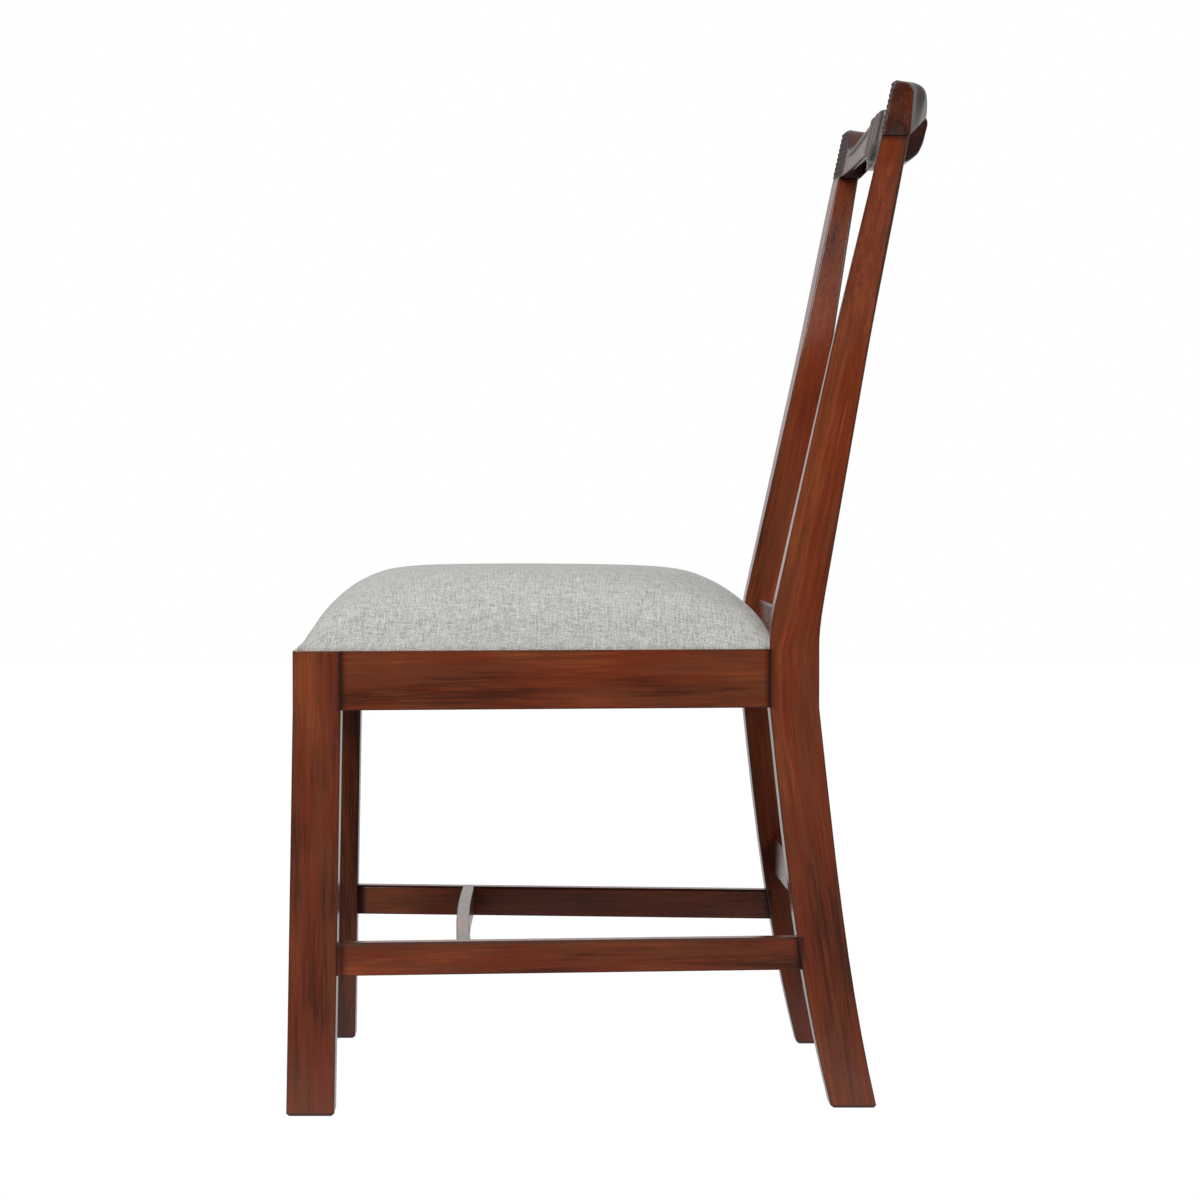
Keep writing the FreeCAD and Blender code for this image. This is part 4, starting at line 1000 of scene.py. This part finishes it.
def over_crown(x, y, toward_x, toward_y):
    """Length over the crown from a line through the seat's middle to each point.

    The way from the line to the point is cut into steps, and the lengths of the slanted steps
    are added up.
    """
    t = np.linspace(0, 1, WALK_STEPS)[:, None]
    walk_x = x * (t if toward_x else 1.0)
    walk_y = SEAT_MIDDLE + (y - SEAT_MIDDLE) * (t if toward_y else 1.0)
    height = crown_height(walk_x + 0 * t, walk_y + 0 * t)
    flat = (x if toward_x else y - SEAT_MIDDLE) / (WALK_STEPS - 1)
    return np.sign(flat) * np.hypot(flat, np.diff(height, axis=0)).sum(axis=0)


crown_x, crown_y, crown_up = crown.T
below = np.clip(RAIL_TOP - crown_up, 0, None)
cloth_across = over_crown(crown_x, crown_y, True, False) + np.sign(crown_x) * below
cloth_along = over_crown(crown_x, crown_y, False, True)
corner = np.empty(len(seat_mesh.loops), int)
seat_mesh.loops.foreach_get("vertex_index", corner)
cloth_map = seat_mesh.uv_layers.new(name="cloth")
cloth_map.data.foreach_set("uv", np.stack([cloth_across[corner], cloth_along[corner]], axis=-1).ravel())

ends = np.empty(len(seat_mesh.edges) * 2, int)
seat_mesh.edges.foreach_get("vertices", ends)
ends = ends.reshape(-1, 2)
rim_edge = np.tile(on_rim, 2)[ends].all(axis=1)
same_level = (ends < p.size).sum(axis=1) != 1
crease = seat_mesh.attributes.new("crease_edge", "FLOAT", "EDGE")
crease.data.foreach_set("value", (rim_edge & same_level).astype(np.float32))

seat_mesh.shade_smooth()
cover = linen("linen_cover")
cushion = place_piece("seat_cushion", seat_mesh, cover, ["seat_cover", "seat_foam"])
finer = cushion.modifiers.new("finer", "SUBSURF")
finer.levels = 1
finer.render_levels = 1
print("cloth across the seat", round(float(np.ptp(cloth_across)), 3))

# %% [markdown]
# What nobody looks at is still finished as it is: pale corner blocks, the plywood board, a black
# cloth under the seat, zinc-plated screws and staples. Each is a small sum of noise with a ramp
# of two colours, at the scale of the real surface.

# %% Hidden pieces
BLOCK_STOPS = [(0.3, opaque(0.46, 0.31, 0.17)), (0.7, opaque(0.62, 0.46, 0.28))]
PLY_STOPS = [(0.3, opaque(0.38, 0.25, 0.13)), (0.7, opaque(0.60, 0.45, 0.27))]
FELT_STOPS = [(0.35, opaque(0.010, 0.010, 0.011)), (0.7, opaque(0.035, 0.035, 0.037))]
ZINC_STOPS = [(0.3, opaque(0.48, 0.47, 0.44)), (0.7, opaque(0.66, 0.65, 0.62))]
TWO_PLIES = 2.4 * MM
SAW_MARK = 0.2 * MM
FELT_NAP = 0.1 * MM


def block_timber(name):
    """Pale sawn hardwood with faint rings."""
    finish = Finish(name)
    x, y, z = finish.axes()
    rings = finish.noise(x * 40.0, y * 40.0, z * 400.0, 3.0)
    saw = finish.noise(x * 900.0, y * 900.0, z * 60.0, 1.0)
    return finish.surface({"Base Color": finish.ramp(rings, BLOCK_STOPS), "Roughness": 0.62 + saw * 0.15,
                           "Normal": finish.bump(saw, 0.3, SAW_MARK)})


def plywood(name):
    """Plywood: pale veneer on its faces and thin dark and light plies on its edge."""
    finish = Finish(name)
    x, y, z = finish.axes()
    ply = finish.maths("SINE", z * (2 * math.pi / TWO_PLIES))
    grain = finish.noise(x * 15.0, y * 260.0, z * 15.0, 3.0)
    return finish.surface({"Base Color": finish.ramp(grain + ply * 0.15, PLY_STOPS),
                           "Roughness": 0.6 + grain * 0.1})


def felted_cloth(name):
    """Thin black cloth of pressed fibres."""
    finish = Finish(name)
    x, y, z = finish.axes()
    fibre = finish.noise(x * 1400.0, y * 1400.0, z * 1400.0, 3.0, 0.7)
    return finish.surface({"Base Color": finish.ramp(fibre, FELT_STOPS), "Roughness": 0.85 + fibre * 0.1,
                           "Normal": finish.bump(fibre, 0.4, FELT_NAP)})


def zinc(name):
    """Zinc plate with fine marks."""
    finish = Finish(name)
    x, y, z = finish.axes()
    marks = finish.noise(x * 700.0, y * 700.0, z * 700.0, 2.0)
    return finish.surface({"Base Color": finish.ramp(marks, ZINC_STOPS), "Metallic": 1.0,
                           "Roughness": 0.25 + marks * 0.2})


block_finish = block_timber("block_timber")
for where in ("front_left", "front_right", "rear_left", "rear_right"):
    dress("corner_block_" + where, block_finish)
dress("seat_board", plywood("plywood"))
dress("dust_cover", felted_cloth("dust_cloth"))
zinc_finish = zinc("zinc_plate")
for node in ("seat_screws", "corner_block_screws", "cover_staples"):
    dress(node, zinc_finish)
print("materials in all", len(bpy.data.materials))
